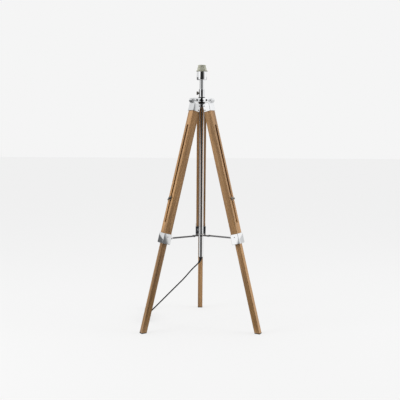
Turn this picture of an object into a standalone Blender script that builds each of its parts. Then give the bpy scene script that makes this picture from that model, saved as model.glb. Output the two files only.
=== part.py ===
"""Wooden tripod floor lamp base with chrome fittings and a mains lead.

Metres, +Z up.  The lamp stands on z = 0 with the centre of its footprint at the origin.
The column is set forward of the origin, because one leg points straight back.
Each leg has its own frame with the origin on the hinge axis, +X out of the leg's outer face,
+Y along the hinge and +Z up the leg, so the leg runs down its own -Z.
"""
import bmesh
import bpy
from math import ceil, cos, pi, radians, sin
from mathutils import Matrix, Vector

GAP = 0.0003                    # clearance between touching pieces
FINE = 24                       # sides of a large round
COARSE = 12                     # sides of a small round
LEGS = {"left": 210.0, "right": 330.0, "rear": 90.0}   # azimuth of each leg, degrees

# --- hub and hinges
HINGE_R = 0.0415                # hinge axis, out from the column axis
HINGE_Z = 0.897
KNUCKLE_R = 0.0095
LEG_TILT = radians(14.5)        # from the vertical
HUB_R = 0.014
HUB_BOTTOM, HUB_TOP = 0.889, 0.910
EAR_IN, EAR_OUT = 0.008, 0.013  # each ear's faces, sideways from the leg's mid-plane
BOLT_R = 0.003

# --- legs, in the leg's frame
OUTER_FACE = -0.003             # x of the upper leg's outer face
UPPER_DEPTH, UPPER_WIDTH = 0.0285, 0.038
LOWER_DEPTH, LOWER_WIDTH = 0.021, 0.020
CENTRE_X = OUTER_FACE - UPPER_DEPTH / 2
UPPER_TOP, UPPER_END = 0.0209, 0.5665       # down the leg from the hinge
CAVITY_TOP = 0.0600
SLOT_TOP, SLOT_END, SLOT_WIDTH = 0.0967, 0.4888, 0.0105
LOWER_TOP = 0.369
SCREW_DOWN = 0.3938             # wing screw, down the leg
SCREW_TURN = {"left": 42.0, "right": -6.0, "rear": 20.0}   # rest angle of the wings
PAD_H = 0.003

# --- top bracket and lower collar
PLATE = 0.002
BRACKET_TOP, BRACKET_END = 0.0098, 0.0405
CHEEK_IN = -0.0295
COLLAR_TOP, COLLAR_END, COLLAR_WALL = 0.530, 0.570, 0.0025

# --- spreader
RING_Z = 0.360
RING_R, RING_HALF = 0.013, 0.006
ROD_R = 0.0032
LUG_R = 0.137                   # rod's outer pivot, out from the column axis
ARM_R = 0.034                   # rod's inner pivot
ROD_SIDE = 0.0068               # rods run beside the ring's arms
EYE_R = 0.004
PIN_R = 0.0015

# --- column, stem and lampholder
TUBE_R, TUBE_WALL = 0.0095, 0.0012
TUBE_BOTTOM = 0.274
SLEEVE_R, SLEEVE_WALL, SLEEVE_TOP = 0.011, 0.0015, 0.942
STEM_R, STEM_WALL = 0.008, 0.0010
STEM_BOTTOM, CUP_BOTTOM = 0.760, 0.978
THUMB_Z, THUMB_REACH = 0.926, 0.0208
THUMB_HOLE_R = 0.0028
NUT_R, NUT_H = 0.0105, 0.004
CUP_R, CUP_TOP = 0.020, 0.0335  # cup top is above the cup bottom
FLANGE_R, FLANGE_H = 0.0237, 0.0020
STEP_R, STEP_H = 0.0196, 0.0004  # the shade ring rests on this step, a shade on the flange outside it
FLEX_BOTTOM = 0.325
LAMP_TOP = 1.036

# --- mains lead
CORD_R = 0.0025
CORD_SPACING = 0.0115           # between the points of a tube
BOOT_LENGTH, BOOT_BEND = 0.026, radians(42.0)
CORD_SIDE = radians(186.0)      # the lead leaves towards this azimuth
LEAD_ROUTE = [                  # points of the lead from the column axis, in order
    (-0.0364, -0.0058, 0.2218),
    (-0.0686, -0.0153, 0.1866),
    (-0.1011, -0.0248, 0.1556),
    (-0.1330, -0.0343, 0.1252),
    (-0.1647, -0.0428, 0.0947),
    (-0.1926, -0.0465, 0.0675),
    (-0.2036, -0.0405, 0.0562),
    (-0.2094, -0.0262, 0.0482),
    (-0.2115, -0.0085, 0.0422),
    (-0.2116, 0.0080, 0.0388),
]

# --- hank and plug, in a frame on the floor at the hank's centre, +X along the hank
HANK_AT = (-0.2186, 0.0769)     # from the column axis
HANK_HEADING = radians(90.6)
HANK_LENGTH, HANK_HEIGHT, HANK_WIDTH = 0.115, 0.040, 0.020
HANK_IN = (-0.0510, -0.0075, 0.0378)
TAIL_ROUTE = [                  # from the hank's far end to the plug
    (0.0555, 0.0075, 0.0328),
    (0.0640, 0.0073, 0.0326),
    (0.0720, 0.0062, 0.0305),
    (0.0800, 0.0038, 0.0258),
    (0.0880, 0.0012, 0.0205),
    (0.0960, 0.0000, 0.0179),
    (0.1075, 0.0000, 0.0178),
]
PLUG_BOOT, PLUG_LENGTH = 0.022, 0.036
PLUG_HALF, PLUG_HALF_THICK = 0.0175, 0.007
PLUG_PIN_R, PLUG_PIN_LENGTH, PLUG_PIN_APART = 0.002, 0.019, 0.0186

# foot centre, and the column's place that centres the footprint on the origin
FOOT_DOWN = (HINGE_Z + CENTRE_X * sin(LEG_TILT)) / cos(LEG_TILT)
FOOT_R = HINGE_R + CENTRE_X * cos(LEG_TILT) + FOOT_DOWN * sin(LEG_TILT)
FOOT_HALF = LOWER_DEPTH / cos(LEG_TILT) / 2
BACK_Y = FOOT_R + FOOT_HALF
FRONT_Y = BACK_Y * sin(radians(30)) + LOWER_WIDTH / 2 * cos(radians(30))
AXIS = Vector((0.0, (FRONT_Y - BACK_Y) / 2, 0.0))

FINISHES = {                    # colour, roughness, metallic
    "chrome": ((0.80, 0.81, 0.82), 0.08, 1.0),
    "dark_steel": ((0.10, 0.09, 0.08), 0.35, 1.0),
    "wood": ((0.46, 0.28, 0.13), 0.50, 0.0),
    "wood_inner": ((0.40, 0.23, 0.10), 0.55, 0.0),
    "cream_plastic": ((0.50, 0.49, 0.38), 0.45, 0.0),
    "black_plastic": ((0.02, 0.02, 0.02), 0.45, 0.0),
    "white_plastic": ((0.85, 0.85, 0.83), 0.40, 0.0),
    "brass": ((0.75, 0.55, 0.25), 0.25, 1.0),
    "ceramic": ((0.85, 0.83, 0.78), 0.35, 0.0),
    "black_rubber": ((0.03, 0.03, 0.03), 0.75, 0.0),
}


# ---------------------------------------------------------------- making objects

def clear_scene():
    for obj in list(bpy.data.objects):
        bpy.data.objects.remove(obj, do_unlink=True)


def finish_material(node, finish):
    colour, roughness, metallic = FINISHES[finish]
    material = bpy.data.materials.new(node + "_" + finish)
    material.use_nodes = True
    shader = material.node_tree.nodes["Principled BSDF"]
    shader.inputs["Base Color"].default_value = (*colour, 1.0)
    shader.inputs["Roughness"].default_value = roughness
    shader.inputs["Metallic"].default_value = metallic
    material.diffuse_color = (*colour, 1.0)
    return material


def empty(name, parent=None, location=(0, 0, 0), rotation=(0, 0, 0)):
    frame = bpy.data.objects.new(name, None)
    frame.location = location
    frame.rotation_euler = rotation
    frame.parent = parent
    bpy.context.collection.objects.link(frame)
    return frame


def add(name, bm, finish, parent, location=(0, 0, 0), rotation=(0, 0, 0), smooth=False):
    bmesh.ops.recalc_face_normals(bm, faces=bm.faces)
    mesh = bpy.data.meshes.new(name)
    bm.to_mesh(mesh)
    bm.free()
    if smooth:
        mesh.shade_smooth()
        mesh.set_sharp_from_angle(angle=radians(35))
    obj = bpy.data.objects.new(name, mesh)
    obj.location = location
    obj.rotation_euler = rotation
    obj.parent = parent
    bpy.context.collection.objects.link(obj)
    if finish:
        mesh.materials.append(finish_material(name, finish))
    return obj


def combine(obj, bm, operation, location=(0, 0, 0), rotation=(0, 0, 0)):
    """Joins a second shape to obj, or cuts it out, in the frame obj is parented to."""
    tool = add(obj.name + "_" + operation.lower(), bm, None, obj.parent, location, rotation)
    tool.hide_render = True
    tool.display_type = "WIRE"
    boolean = obj.modifiers.new(operation.title(), "BOOLEAN")
    boolean.operation = operation
    boolean.solver = "EXACT"
    boolean.object = tool


# ---------------------------------------------------------------- shapes

def box(low, high):
    bm = bmesh.new()
    bmesh.ops.create_cube(bm, size=1.0)
    size = Vector(high) - Vector(low)
    centre = (Vector(high) + Vector(low)) / 2
    place = Matrix.Translation(centre) @ Matrix.Diagonal((*size, 1))
    bmesh.ops.transform(bm, verts=bm.verts, matrix=place)
    return bm


def turned(profile, sides=FINE, along="Z"):
    """Turns a profile of (radius, height) points about an axis.

    A profile that starts and ends on the axis is a solid, any other one closes on itself as a ring.
    """
    bm = bmesh.new()
    rings = []
    for radius, height in profile:
        if radius == 0:
            rings.append([bm.verts.new((0, 0, height))])
            continue
        turn = [2 * pi * i / sides for i in range(sides)]
        rings.append([bm.verts.new((radius * cos(a), radius * sin(a), height)) for a in turn])
    solid = profile[0][0] == 0
    pairs = list(zip(rings, rings[1:]))
    if not solid:
        pairs.append((rings[-1], rings[0]))
    for lower, upper in pairs:
        for i in range(sides):
            j = (i + 1) % sides
            corners = [lower[i % len(lower)], lower[j % len(lower)],
                       upper[j % len(upper)], upper[i % len(upper)]]
            bm.faces.new(list(dict.fromkeys(corners)))
    turn_to(bm, along)
    return bm


def turn_to(bm, along):
    """Lays a shape made along Z along X or Y."""
    if along == "X":
        bmesh.ops.rotate(bm, verts=bm.verts, matrix=Matrix.Rotation(pi / 2, 3, "Y"))
    if along == "Y":
        bmesh.ops.rotate(bm, verts=bm.verts, matrix=Matrix.Rotation(-pi / 2, 3, "X"))


def rod(radius, start, end, sides=COARSE, along="Z"):
    return turned([(0, start), (radius, start), (radius, end), (0, end)], sides, along)


def ring(inner, outer, start, end, sides=FINE, along="Z"):
    return turned([(inner, start), (outer, start), (outer, end), (inner, end)], sides, along)


def prism(outline, low, high, along):
    """Extrudes an outline between two heights.

    The outline's two coordinates are (x, z) for along="Y" and (y, z) for along="X".
    """
    bm = bmesh.new()
    ends = []
    for level in (low, high):
        if along == "Y":
            ends.append([bm.verts.new((u, level, v)) for u, v in outline])
        else:
            ends.append([bm.verts.new((level, u, v)) for u, v in outline])
    bm.faces.new(ends[0])
    bm.faces.new(ends[1][::-1])
    count = len(outline)
    for i in range(count):
        j = (i + 1) % count
        bm.faces.new([ends[0][i], ends[0][j], ends[1][j], ends[1][i]])
    return bm


def arc(centre, radius, start, end, steps):
    """Points on an arc, its angles in degrees."""
    angles = [radians(start + (end - start) * i / steps) for i in range(steps + 1)]
    return [(centre[0] + radius * cos(a), centre[1] + radius * sin(a)) for a in angles]


def smooth_line(points, spacing):
    """Evenly spaced points on a Catmull-Rom curve through the given points."""
    ends = [2 * points[0] - points[1], *points, 2 * points[-1] - points[-2]]
    fine = []
    for before, a, b, after in zip(ends, ends[1:], ends[2:], ends[3:]):
        for i in range(24):
            t = i / 24
            fine.append(0.5 * (2 * a + (b - before) * t + (2 * before - 5 * a + 4 * b - after) * t * t
                               + (3 * a - before - 3 * b + after) * t ** 3))
    fine.append(points[-1])
    lengths = [0.0]
    for a, b in zip(fine, fine[1:]):
        lengths.append(lengths[-1] + (b - a).length)
    count = ceil(lengths[-1] / spacing)
    line = []
    k = 0
    for i in range(count + 1):
        goal = lengths[-1] * i / count
        while k < len(fine) - 2 and lengths[k + 1] < goal:
            k += 1
        line.append(fine[k].lerp(fine[k + 1], (goal - lengths[k]) / (lengths[k + 1] - lengths[k])))
    return line


def swept(name, points, radii, finish, parent, sides=2):
    """A round bar along a list of points, with a radius at each."""
    curve = bpy.data.curves.new(name, "CURVE")
    curve.dimensions = "3D"
    curve.bevel_depth = 1.0
    curve.bevel_resolution = sides
    curve.use_fill_caps = True
    spline = curve.splines.new("POLY")
    spline.points.add(len(points) - 1)
    for place, point, radius in zip(spline.points, points, radii):
        place.co = (*point, 1.0)
        place.radius = radius
    obj = bpy.data.objects.new(name, curve)
    obj.parent = parent
    bpy.context.collection.objects.link(obj)
    curve.materials.append(finish_material(name, finish))
    return obj


# ---------------------------------------------------------------- column

def make_hub(column):
    hub = add("hub", rod(HUB_R, HUB_BOTTOM, HUB_TOP, FINE), "chrome", column, smooth=True)
    top = HINGE_Z + KNUCKLE_R
    for azimuth in LEGS.values():
        for side in (-1, 1):
            outline = arc((HINGE_R, HINGE_Z), KNUCKLE_R, -90, 90, 10)
            root, low = 0.004, HUB_BOTTOM + 0.001
            outline += [(root, top), (root, low), (HINGE_R - KNUCKLE_R, low)]
            faces = sorted((side * EAR_IN, side * EAR_OUT))
            ear = prism(outline, *faces, "Y")
            combine(hub, ear, "UNION", rotation=(0, 0, radians(azimuth)))
    for azimuth in LEGS.values():
        out = Vector((cos(radians(azimuth)), sin(radians(azimuth)), 0)) * HINGE_R
        bore = rod(BOLT_R + GAP, -0.03, 0.03, COARSE, "Y")
        combine(hub, bore, "DIFFERENCE", (out.x, out.y, HINGE_Z), (0, 0, radians(azimuth)))
    combine(hub, rod(TUBE_R + GAP, HUB_BOTTOM - 0.01, HUB_TOP + 0.01, FINE), "DIFFERENCE")


def make_hinge_bolt(leg, fold):
    shank, head = EAR_OUT + GAP, 0.004
    profile = [(0, -shank - head), (0.0055, -shank - head), (0.0060, -shank - head + 0.0008),
               (0.0060, -shank), (BOLT_R, -shank), (BOLT_R, shank), (0.0060, shank),
               (0.0060, shank + head - 0.0008), (0.0055, shank + head), (0, shank + head)]
    add("hinge_bolt_" + leg, turned(profile, COARSE, "Y"), "chrome", fold, smooth=True)


def make_column(column):
    bore = TUBE_R - TUBE_WALL
    add("column_tube", ring(bore, TUBE_R, TUBE_BOTTOM, HUB_TOP - 0.0005), "chrome", column, smooth=True)
    nut = ring(TUBE_R + GAP, 0.012, HUB_BOTTOM - 0.005, HUB_BOTTOM - GAP)
    add("hub_lock_ring", nut, "dark_steel", column, smooth=True)
    sleeve_bottom = HUB_TOP + GAP
    bush_r = SLEEVE_R - SLEEVE_WALL
    sleeve = ring(bush_r, SLEEVE_R, sleeve_bottom, SLEEVE_TOP)
    sleeve_obj = add("stem_sleeve", sleeve, "chrome", column, smooth=True)
    bush = ring(STEM_R + GAP, bush_r - GAP, sleeve_bottom + 0.001, SLEEVE_TOP - 0.0005, COARSE)
    bush_obj = add("stem_bush", bush, "white_plastic", column, smooth=True)
    for obj in (sleeve_obj, bush_obj):
        hole = rod(THUMB_HOLE_R, -SLEEVE_R - 0.001, -0.004, COARSE, "X")
        combine(obj, hole, "DIFFERENCE", (0, 0, THUMB_Z))


def boot_line():
    """The strain relief's centre line: straight down, then bent over to the lead's side."""
    side = Vector((cos(CORD_SIDE), sin(CORD_SIDE), 0))
    straight = 0.002
    radius = (BOOT_LENGTH - straight) / BOOT_BEND
    start = Vector((0, 0, TUBE_BOTTOM - GAP))
    points = [start, start - Vector((0, 0, straight))]
    for i in range(1, 9):
        a = BOOT_BEND * i / 8
        points.append(points[1] + side * radius * (1 - cos(a)) - Vector((0, 0, radius * sin(a))))
    return points


def make_gland(column):
    bore = TUBE_R - TUBE_WALL - GAP
    plug = rod(bore, TUBE_BOTTOM + GAP, TUBE_BOTTOM + 0.012, COARSE)
    add("cord_clamp_plug", plug, "black_plastic", column, smooth=True)
    points = boot_line()
    first, last = 0.0072, CORD_R + 0.0011
    radii = [first, first] + [first + (last - first) * (i / 8) ** 0.6 for i in range(1, 9)]
    swept("strain_relief", points, radii, "black_rubber", column, 3)


# ---------------------------------------------------------------- stem and lampholder

def make_stem(stem):
    bore = STEM_R - STEM_WALL
    add("stem_tube", ring(bore, STEM_R, STEM_BOTTOM, CUP_BOTTOM - GAP), "chrome", stem, smooth=True)
    nipple = ring(0.0035, bore - GAP, CUP_BOTTOM - 0.010, CUP_BOTTOM + 0.0085, COARSE)
    add("threaded_nipple", nipple, "brass", stem, smooth=True)
    nut_low = CUP_BOTTOM + 0.002 + GAP
    nut = add("nipple_nut", rod(NUT_R, nut_low, nut_low + NUT_H, 6), "brass", stem)
    combine(nut, rod(bore, nut_low - 0.01, nut_low + 0.01), "DIFFERENCE")
    flex = rod(CORD_R, FLEX_BOTTOM, CUP_BOTTOM + 0.0085)
    add("inner_flex", flex, "black_rubber", stem, smooth=True)


def make_lampholder(stem, shade_ring):
    base, rim = CUP_BOTTOM, CUP_BOTTOM + CUP_TOP
    cup = turned([(bore_of_stem(), base), (CUP_R - 0.002, base), (CUP_R, base + 0.002), (CUP_R, rim),
                  (CUP_R - 0.001, rim), (CUP_R - 0.001, base + 0.003), (CUP_R - 0.003, base + 0.002),
                  (bore_of_stem(), base + 0.002)])
    add("lampholder_cup", cup, "chrome", stem, smooth=True)
    skirt = CUP_R - 0.001 - GAP
    floor = base + 0.010
    flange = rim + GAP
    neck, wall = 0.0160, 0.0142
    seat, step = flange + FLANGE_H, flange + FLANGE_H + STEP_H
    barrel = turned([(0.004, floor), (skirt, floor), (skirt, flange), (FLANGE_R, flange),
                     (FLANGE_R, seat), (STEP_R, seat), (STEP_R, step), (neck, step), (neck, LAMP_TOP),
                     (wall, LAMP_TOP), (wall, floor + 0.002), (0.004, floor + 0.002)])
    add("lampholder_barrel", barrel, "cream_plastic", stem, smooth=True)
    carrier_low = floor + 0.002 + GAP
    carrier = ring(0.003, wall - GAP, carrier_low, carrier_low + 0.006, FINE)
    add("contact_carrier", carrier, "ceramic", stem, smooth=True)
    shell_low = carrier_low + 0.006 + GAP
    add("screw_shell", ring(0.0134, wall - GAP, shell_low, shell_low + 0.024), "brass", stem, smooth=True)
    tip = shell_low
    contact = turned([(0, tip), (0.004, tip), (0.004, tip + 0.001), (0.0015, tip + 0.003),
                      (0, tip + 0.003)], COARSE)
    add("centre_contact", contact, "brass", stem, smooth=True)
    low = step + GAP
    inner = neck + GAP
    collar = turned([(inner, low), (0.0192, low), (0.0192, low + 0.003), (0.0186, low + 0.004),
                     (0.0172, low + 0.0121), (inner, low + 0.0121)])
    add("shade_ring", collar, "cream_plastic", shade_ring, smooth=True)


def bore_of_stem():
    return STEM_R - STEM_WALL


def make_thumbscrew(knob):
    """The stem's thumbscrew, along -X of its own frame, whose origin is on the column axis."""
    tip, start, end = STEM_R + GAP, SLEEVE_R + GAP, THUMB_REACH
    profile = [(0, -end), (0.0058, -end), (0.0066, -end + 0.0010), (0.0066, -start - 0.0024),
               (0.0048, -start - 0.0012), (0.0048, -start), (0.0025, -start), (0.0025, -tip), (0, -tip)]
    add("stem_thumbscrew", turned(profile, COARSE, "X"), "dark_steel", knob, smooth=True)


# ---------------------------------------------------------------- spreader

def make_spreader_ring(frame):
    off = (0, 0, radians(4))    # keeps the arms off the boss's corners
    boss = rod(RING_R, -RING_HALF, RING_HALF, FINE)
    spider = add("spreader_ring", boss, "chrome", frame, rotation=off, smooth=True)
    turns = [(0, 0, radians(azimuth)) for azimuth in LEGS.values()]
    places = [Vector((cos(turn[2]), sin(turn[2]), 0)) * ARM_R for turn in turns]
    for turn, place in zip(turns, places):
        combine(spider, rod(ROD_R, RING_R - 0.003, ARM_R - 0.001, COARSE, "X"), "UNION", rotation=turn)
        combine(spider, rod(EYE_R, -ROD_R + 0.0001, ROD_R - 0.0001, 16, "Y"), "UNION", place, turn)
    for turn, place in zip(turns, places):
        combine(spider, rod(PIN_R + GAP, -0.01, 0.01, COARSE, "Y"), "DIFFERENCE", place, turn)
    combine(spider, rod(TUBE_R + GAP, -0.01, 0.01, FINE), "DIFFERENCE", rotation=off)


def make_spreader_rod(leg, frame):
    """A rod with an eye at each end, in a frame with its origin on the outer pivot."""
    reach = LUG_R - ARM_R
    bar = add("spreader_rod_" + leg, rod(ROD_R, -reach + 0.001, -0.001, COARSE, "X"), "chrome", frame,
              (0, ROD_SIDE, 0), smooth=True)
    for end in (0, -reach):
        place = (end, ROD_SIDE, 0)
        combine(bar, rod(EYE_R, -0.002, 0.002, 16, "Y"), "UNION", place)
        combine(bar, rod(PIN_R + GAP, -0.01, 0.01, COARSE, "Y"), "DIFFERENCE", place)


# ---------------------------------------------------------------- legs

def slot_outline(width, top, end):
    half = width / 2
    upper = arc((0, -top - half), half, 0, 180, 8)
    lower = arc((0, -end + half), half, 180, 360, 8)
    return upper + lower


def make_upper_leg(leg, fold):
    """Two glued half channels round the lower leg, slotted in the outer face."""
    inner_face = OUTER_FACE - UPPER_DEPTH
    for side, word in ((-1, "a"), (1, "b")):
        sides = sorted((side * GAP / 2, side * UPPER_WIDTH / 2))
        block = box((inner_face, sides[0], -UPPER_END), (OUTER_FACE, sides[1], -UPPER_TOP))
        half = add("upper_leg_" + leg + "_" + word, block, "wood", fold)
        room_x, room_y = LOWER_DEPTH / 2 + GAP, LOWER_WIDTH / 2 + GAP
        low, high = (CENTRE_X - room_x, -room_y, -UPPER_END - 0.01), (CENTRE_X + room_x, room_y, -CAVITY_TOP)
        combine(half, box(low, high), "DIFFERENCE")
        slot = prism(slot_outline(SLOT_WIDTH, SLOT_TOP, SLOT_END), CENTRE_X, OUTER_FACE + 0.01, "X")
        combine(half, slot, "DIFFERENCE")


def make_top_bracket(leg, fold):
    """A cast cap over the leg's top: face plate, two cheeks, top plate and the hinge barrel."""
    side = UPPER_WIDTH / 2 + GAP
    face = OUTER_FACE + GAP
    shell = box((CHEEK_IN, -side - PLATE, -BRACKET_END), (face + PLATE, side + PLATE, -BRACKET_TOP))
    bracket = add("top_bracket_" + leg, shell, "chrome", fold, smooth=True)
    inside, notch = CHEEK_IN - 0.01, CHEEK_IN + 0.006
    under = -BRACKET_TOP - PLATE
    room = [(inside, -BRACKET_END - 0.01), (face, -BRACKET_END - 0.01), (face, under), (notch, under),
            (notch, 0.01), (inside, 0.01)]
    combine(bracket, prism(room, -side, side, "Y"), "DIFFERENCE")
    half = EAR_IN - GAP
    neck = half - 0.0007
    combine(bracket, box((-0.0085, -neck, -BRACKET_TOP - 0.001), (face + 0.001, neck, -0.001)), "UNION")
    combine(bracket, rod(KNUCKLE_R, -half, half, FINE, "Y"), "UNION")
    combine(bracket, rod(BOLT_R + GAP, -0.03, 0.03, COARSE, "Y"), "DIFFERENCE")


def lug_place():
    """The rod's outer pivot in the leg's frame."""
    out, down = LUG_R - HINGE_R, HINGE_Z - RING_Z
    x = out * cos(LEG_TILT) - down * sin(LEG_TILT)
    z = -out * sin(LEG_TILT) - down * cos(LEG_TILT)
    return x, z


def make_collar(leg, fold):
    """A sleeve round the upper leg's end, its floor cut to guide the lower leg, with a forked lug."""
    side = UPPER_WIDTH / 2 + GAP
    outer, inner = OUTER_FACE + GAP, OUTER_FACE - UPPER_DEPTH - GAP
    wall = COLLAR_WALL
    body = box((inner - wall, -side - wall, -COLLAR_END), (outer + wall, side + wall, -COLLAR_TOP))
    collar = add("leg_collar_" + leg, body, "chrome", fold, smooth=True)
    x, z = lug_place()
    back = inner - wall / 2
    half = ROD_R + 2 * GAP
    for low in (ROD_SIDE - half - 0.002, ROD_SIDE + half):
        ear = arc((x, z), EYE_R, 90, 270, 8) + [(back, z - EYE_R), (back, z + EYE_R)]
        combine(collar, prism(ear, low, low + 0.002, "Y"), "UNION")
    combine(collar, box((inner, -side, -UPPER_END - GAP), (outer, side, 0.01 - COLLAR_TOP)), "DIFFERENCE")
    room_x, room_y = LOWER_DEPTH / 2 + GAP, LOWER_WIDTH / 2 + GAP
    guide = box((CENTRE_X - room_x, -room_y, -COLLAR_END - 0.01), (CENTRE_X + room_x, room_y, -COLLAR_TOP))
    combine(collar, guide, "DIFFERENCE")
    combine(collar, rod(PIN_R + GAP, -0.02, 0.02, COARSE, "Y"), "DIFFERENCE", (x, 0, z))
    ends = half + 0.002 + GAP
    head = 0.0012
    profile = [(0, -ends - head), (0.0028, -ends - head), (0.0028, -ends), (PIN_R, -ends), (PIN_R, ends),
               (0.0028, ends), (0.0028, ends + head), (0, ends + head)]
    add("rod_pin_" + leg, turned(profile, COARSE, "Y"), "chrome", fold, (x, ROD_SIDE, z), smooth=True)


def make_lower_leg(leg, slide):
    """A square bar, cut level at the foot."""
    bm = bmesh.new()
    rings = []
    for level in (None, -LOWER_TOP):
        corners = []
        for sx, sy in ((-1, -1), (1, -1), (1, 1), (-1, 1)):
            x, y = CENTRE_X + sx * LOWER_DEPTH / 2, sy * LOWER_WIDTH / 2
            cut = (PAD_H + GAP - HINGE_Z - x * sin(LEG_TILT)) / cos(LEG_TILT)
            corners.append(bm.verts.new((x, y, cut if level is None else level)))
        rings.append(corners)
    bm.faces.new(rings[0][::-1])
    bm.faces.new(rings[1])
    for i in range(4):
        j = (i + 1) % 4
        bm.faces.new([rings[0][i], rings[0][j], rings[1][j], rings[1][i]])
    lower = add("lower_leg_" + leg, bm, "wood_inner", slide)
    face = CENTRE_X + LOWER_DEPTH / 2
    combine(lower, rod(0.004, face - 0.012, face + 0.01, COARSE, "X"), "DIFFERENCE", (0, 0, -SCREW_DOWN))
    insert = ring(0.0025 + GAP, 0.004 - GAP, face - 0.0115, face - 0.0005, COARSE, "X")
    add("thread_insert_" + leg, insert, "brass", slide, (0, 0, -SCREW_DOWN), smooth=True)


def make_foot_pad(leg, column, azimuth):
    half_x, half_y = FOOT_HALF, LOWER_WIDTH / 2
    pad = box((-half_x, -half_y, 0), (half_x, half_y, PAD_H))
    turn = radians(azimuth)
    place = (FOOT_R * cos(turn), FOOT_R * sin(turn), 0)
    add("foot_pad_" + leg, pad, "black_rubber", column, place, (0, 0, turn))


def make_wing_screw(leg, knob):
    """A wing screw along X, with its origin on the screw's axis at the slot's face."""
    turn = radians(SCREW_TURN[leg])
    seat = GAP
    length = 0.0128
    profile = [(0, -length), (0.0025, -length), (0.0025, seat), (0.0075, seat), (0.0075, seat + 0.0015),
               (0.0045, seat + 0.0022), (0.0045, 0.0085), (0.0035, 0.0100), (0, 0.0100)]
    screw = add("wing_screw_" + leg, turned(profile, COARSE, "X"), "dark_steel", knob, smooth=True)
    wings = arc((0.0098, 0), 0.0036, -90, 90, 8) + arc((-0.0098, 0), 0.0036, 90, 270, 8)
    combine(screw, prism(wings, 0.0042, 0.0078, "X"), "UNION", rotation=(turn, 0, 0))


def make_leg(leg, azimuth, column):
    turn = radians(azimuth)
    hinge = (HINGE_R * cos(turn), HINGE_R * sin(turn), HINGE_Z)
    fold = empty("leg_fold_" + leg, column, hinge, (0, -LEG_TILT, turn))
    slide = empty("leg_slide_" + leg, fold)
    knob = empty("leg_knob_" + leg, slide, (OUTER_FACE, 0, -SCREW_DOWN))
    lug = (LUG_R * cos(turn), LUG_R * sin(turn), RING_Z)
    rod_frame = empty("rod_hinge_" + leg, column, lug, (0, 0, turn))
    make_hinge_bolt(leg, fold)
    make_top_bracket(leg, fold)
    make_upper_leg(leg, fold)
    make_collar(leg, fold)
    make_lower_leg(leg, slide)
    make_foot_pad(leg, column, azimuth)
    make_wing_screw(leg, knob)
    make_spreader_rod(leg, rod_frame)


# ---------------------------------------------------------------- mains lead

def make_lead(column, hank):
    """From the strain relief down to the top of the hank's near end."""
    boot = boot_line()
    out = (boot[-1] - boot[-2]).normalized()
    end = Vector(HANK_IN)
    end.rotate(hank.rotation_euler)
    end += hank.location
    points = [boot[-1] + out * GAP, boot[-1] + out * 0.010, *map(Vector, LEAD_ROUTE), end]
    line = smooth_line(points, CORD_SPACING)
    swept("cord_lead", line, [CORD_R] * len(line), "black_rubber", column)


def make_hank(hank):
    """The folded length of lead, standing on its edge, and the band that ties it."""
    radius, half = HANK_HEIGHT / 2, HANK_WIDTH / 2
    level = radius + GAP
    straight = HANK_LENGTH / 2 - radius
    outline = arc((straight, level), radius, -90, 90, 10) + arc((-straight, level), radius, 90, 270, 10)
    add("cord_hank", prism(outline, -half, half, "Y"), "black_rubber", hank)
    reach, thick, band = half + GAP, 0.0008, 0.0025
    low, high = level - radius + 0.003, level + radius + GAP
    tie = add("cord_tie", box((-band, -reach - thick, low), (band, reach + thick, high + thick)),
              "black_plastic", hank)
    combine(tie, box((-2 * band, -reach, low - 0.01), (2 * band, reach, high)), "DIFFERENCE")


def make_plug(hank):
    """The lead's tail and a flat two-pin plug on its narrow side, with its own strain relief."""
    tail = smooth_line([Vector(p) for p in TAIL_ROUTE], CORD_SPACING)
    swept("cord_tail", tail, [CORD_R] * len(tail), "black_rubber", hank)
    start, level = TAIL_ROUTE[-1][0] + GAP, TAIL_ROUTE[-1][2]
    boot = turned([(0, start), (0.0034, start), (0.0055, start + PLUG_BOOT), (0, start + PLUG_BOOT)],
                  COARSE, "X")
    add("plug_strain_relief", boot, "black_rubber", hank, (0, 0, level), smooth=True)
    back = start + PLUG_BOOT + GAP
    face = back + PLUG_LENGTH
    upper = [(back, 0.0105), (back + 0.006, 0.0150), (back + 0.012, PLUG_HALF), (face, PLUG_HALF)]
    outline = [(x, level - z) for x, z in upper] + [(x, level + z) for x, z in reversed(upper)]
    add("plug_body", prism(outline, -PLUG_HALF_THICK, PLUG_HALF_THICK, "Y"), "black_plastic", hank)
    for word, side in (("lower", -1), ("upper", 1)):
        pin = rod(PLUG_PIN_R, face + GAP, face + GAP + PLUG_PIN_LENGTH, COARSE, "X")
        place = (0, 0, level + side * PLUG_PIN_APART / 2)
        add("plug_pin_" + word, pin, "brass", hank, place, smooth=True)


def main():
    clear_scene()
    column = empty("column_axis", None, AXIS)
    make_hub(column)
    make_column(column)
    make_gland(column)
    stem = empty("stem_slide", column)
    shade = empty("shade_ring_slide", stem)
    make_stem(stem)
    make_lampholder(stem, shade)
    make_thumbscrew(empty("stem_knob", column, (0, 0, THUMB_Z)))
    make_spreader_ring(empty("ring_slide", column, (0, 0, RING_Z)))
    for leg, azimuth in LEGS.items():
        make_leg(leg, azimuth, column)
    hank = empty("hank_frame", column, (*HANK_AT, 0), (0, 0, HANK_HEADING))
    make_lead(column, hank)
    make_hank(hank)
    make_plug(hank)


main()
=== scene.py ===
"""Looks of the wooden tripod floor lamp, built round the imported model.

Metres, in the row frame: the lamp stands on z = 0, its column is at AXIS.
Each leg has its own frame with the origin on the hinge axis, +X out of the leg's outer face,
+Y along the hinge and +Z up the leg.
"""
from math import ceil, cos, pi, radians, sin

import bmesh
import bpy
from mathutils import Matrix, Vector


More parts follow.
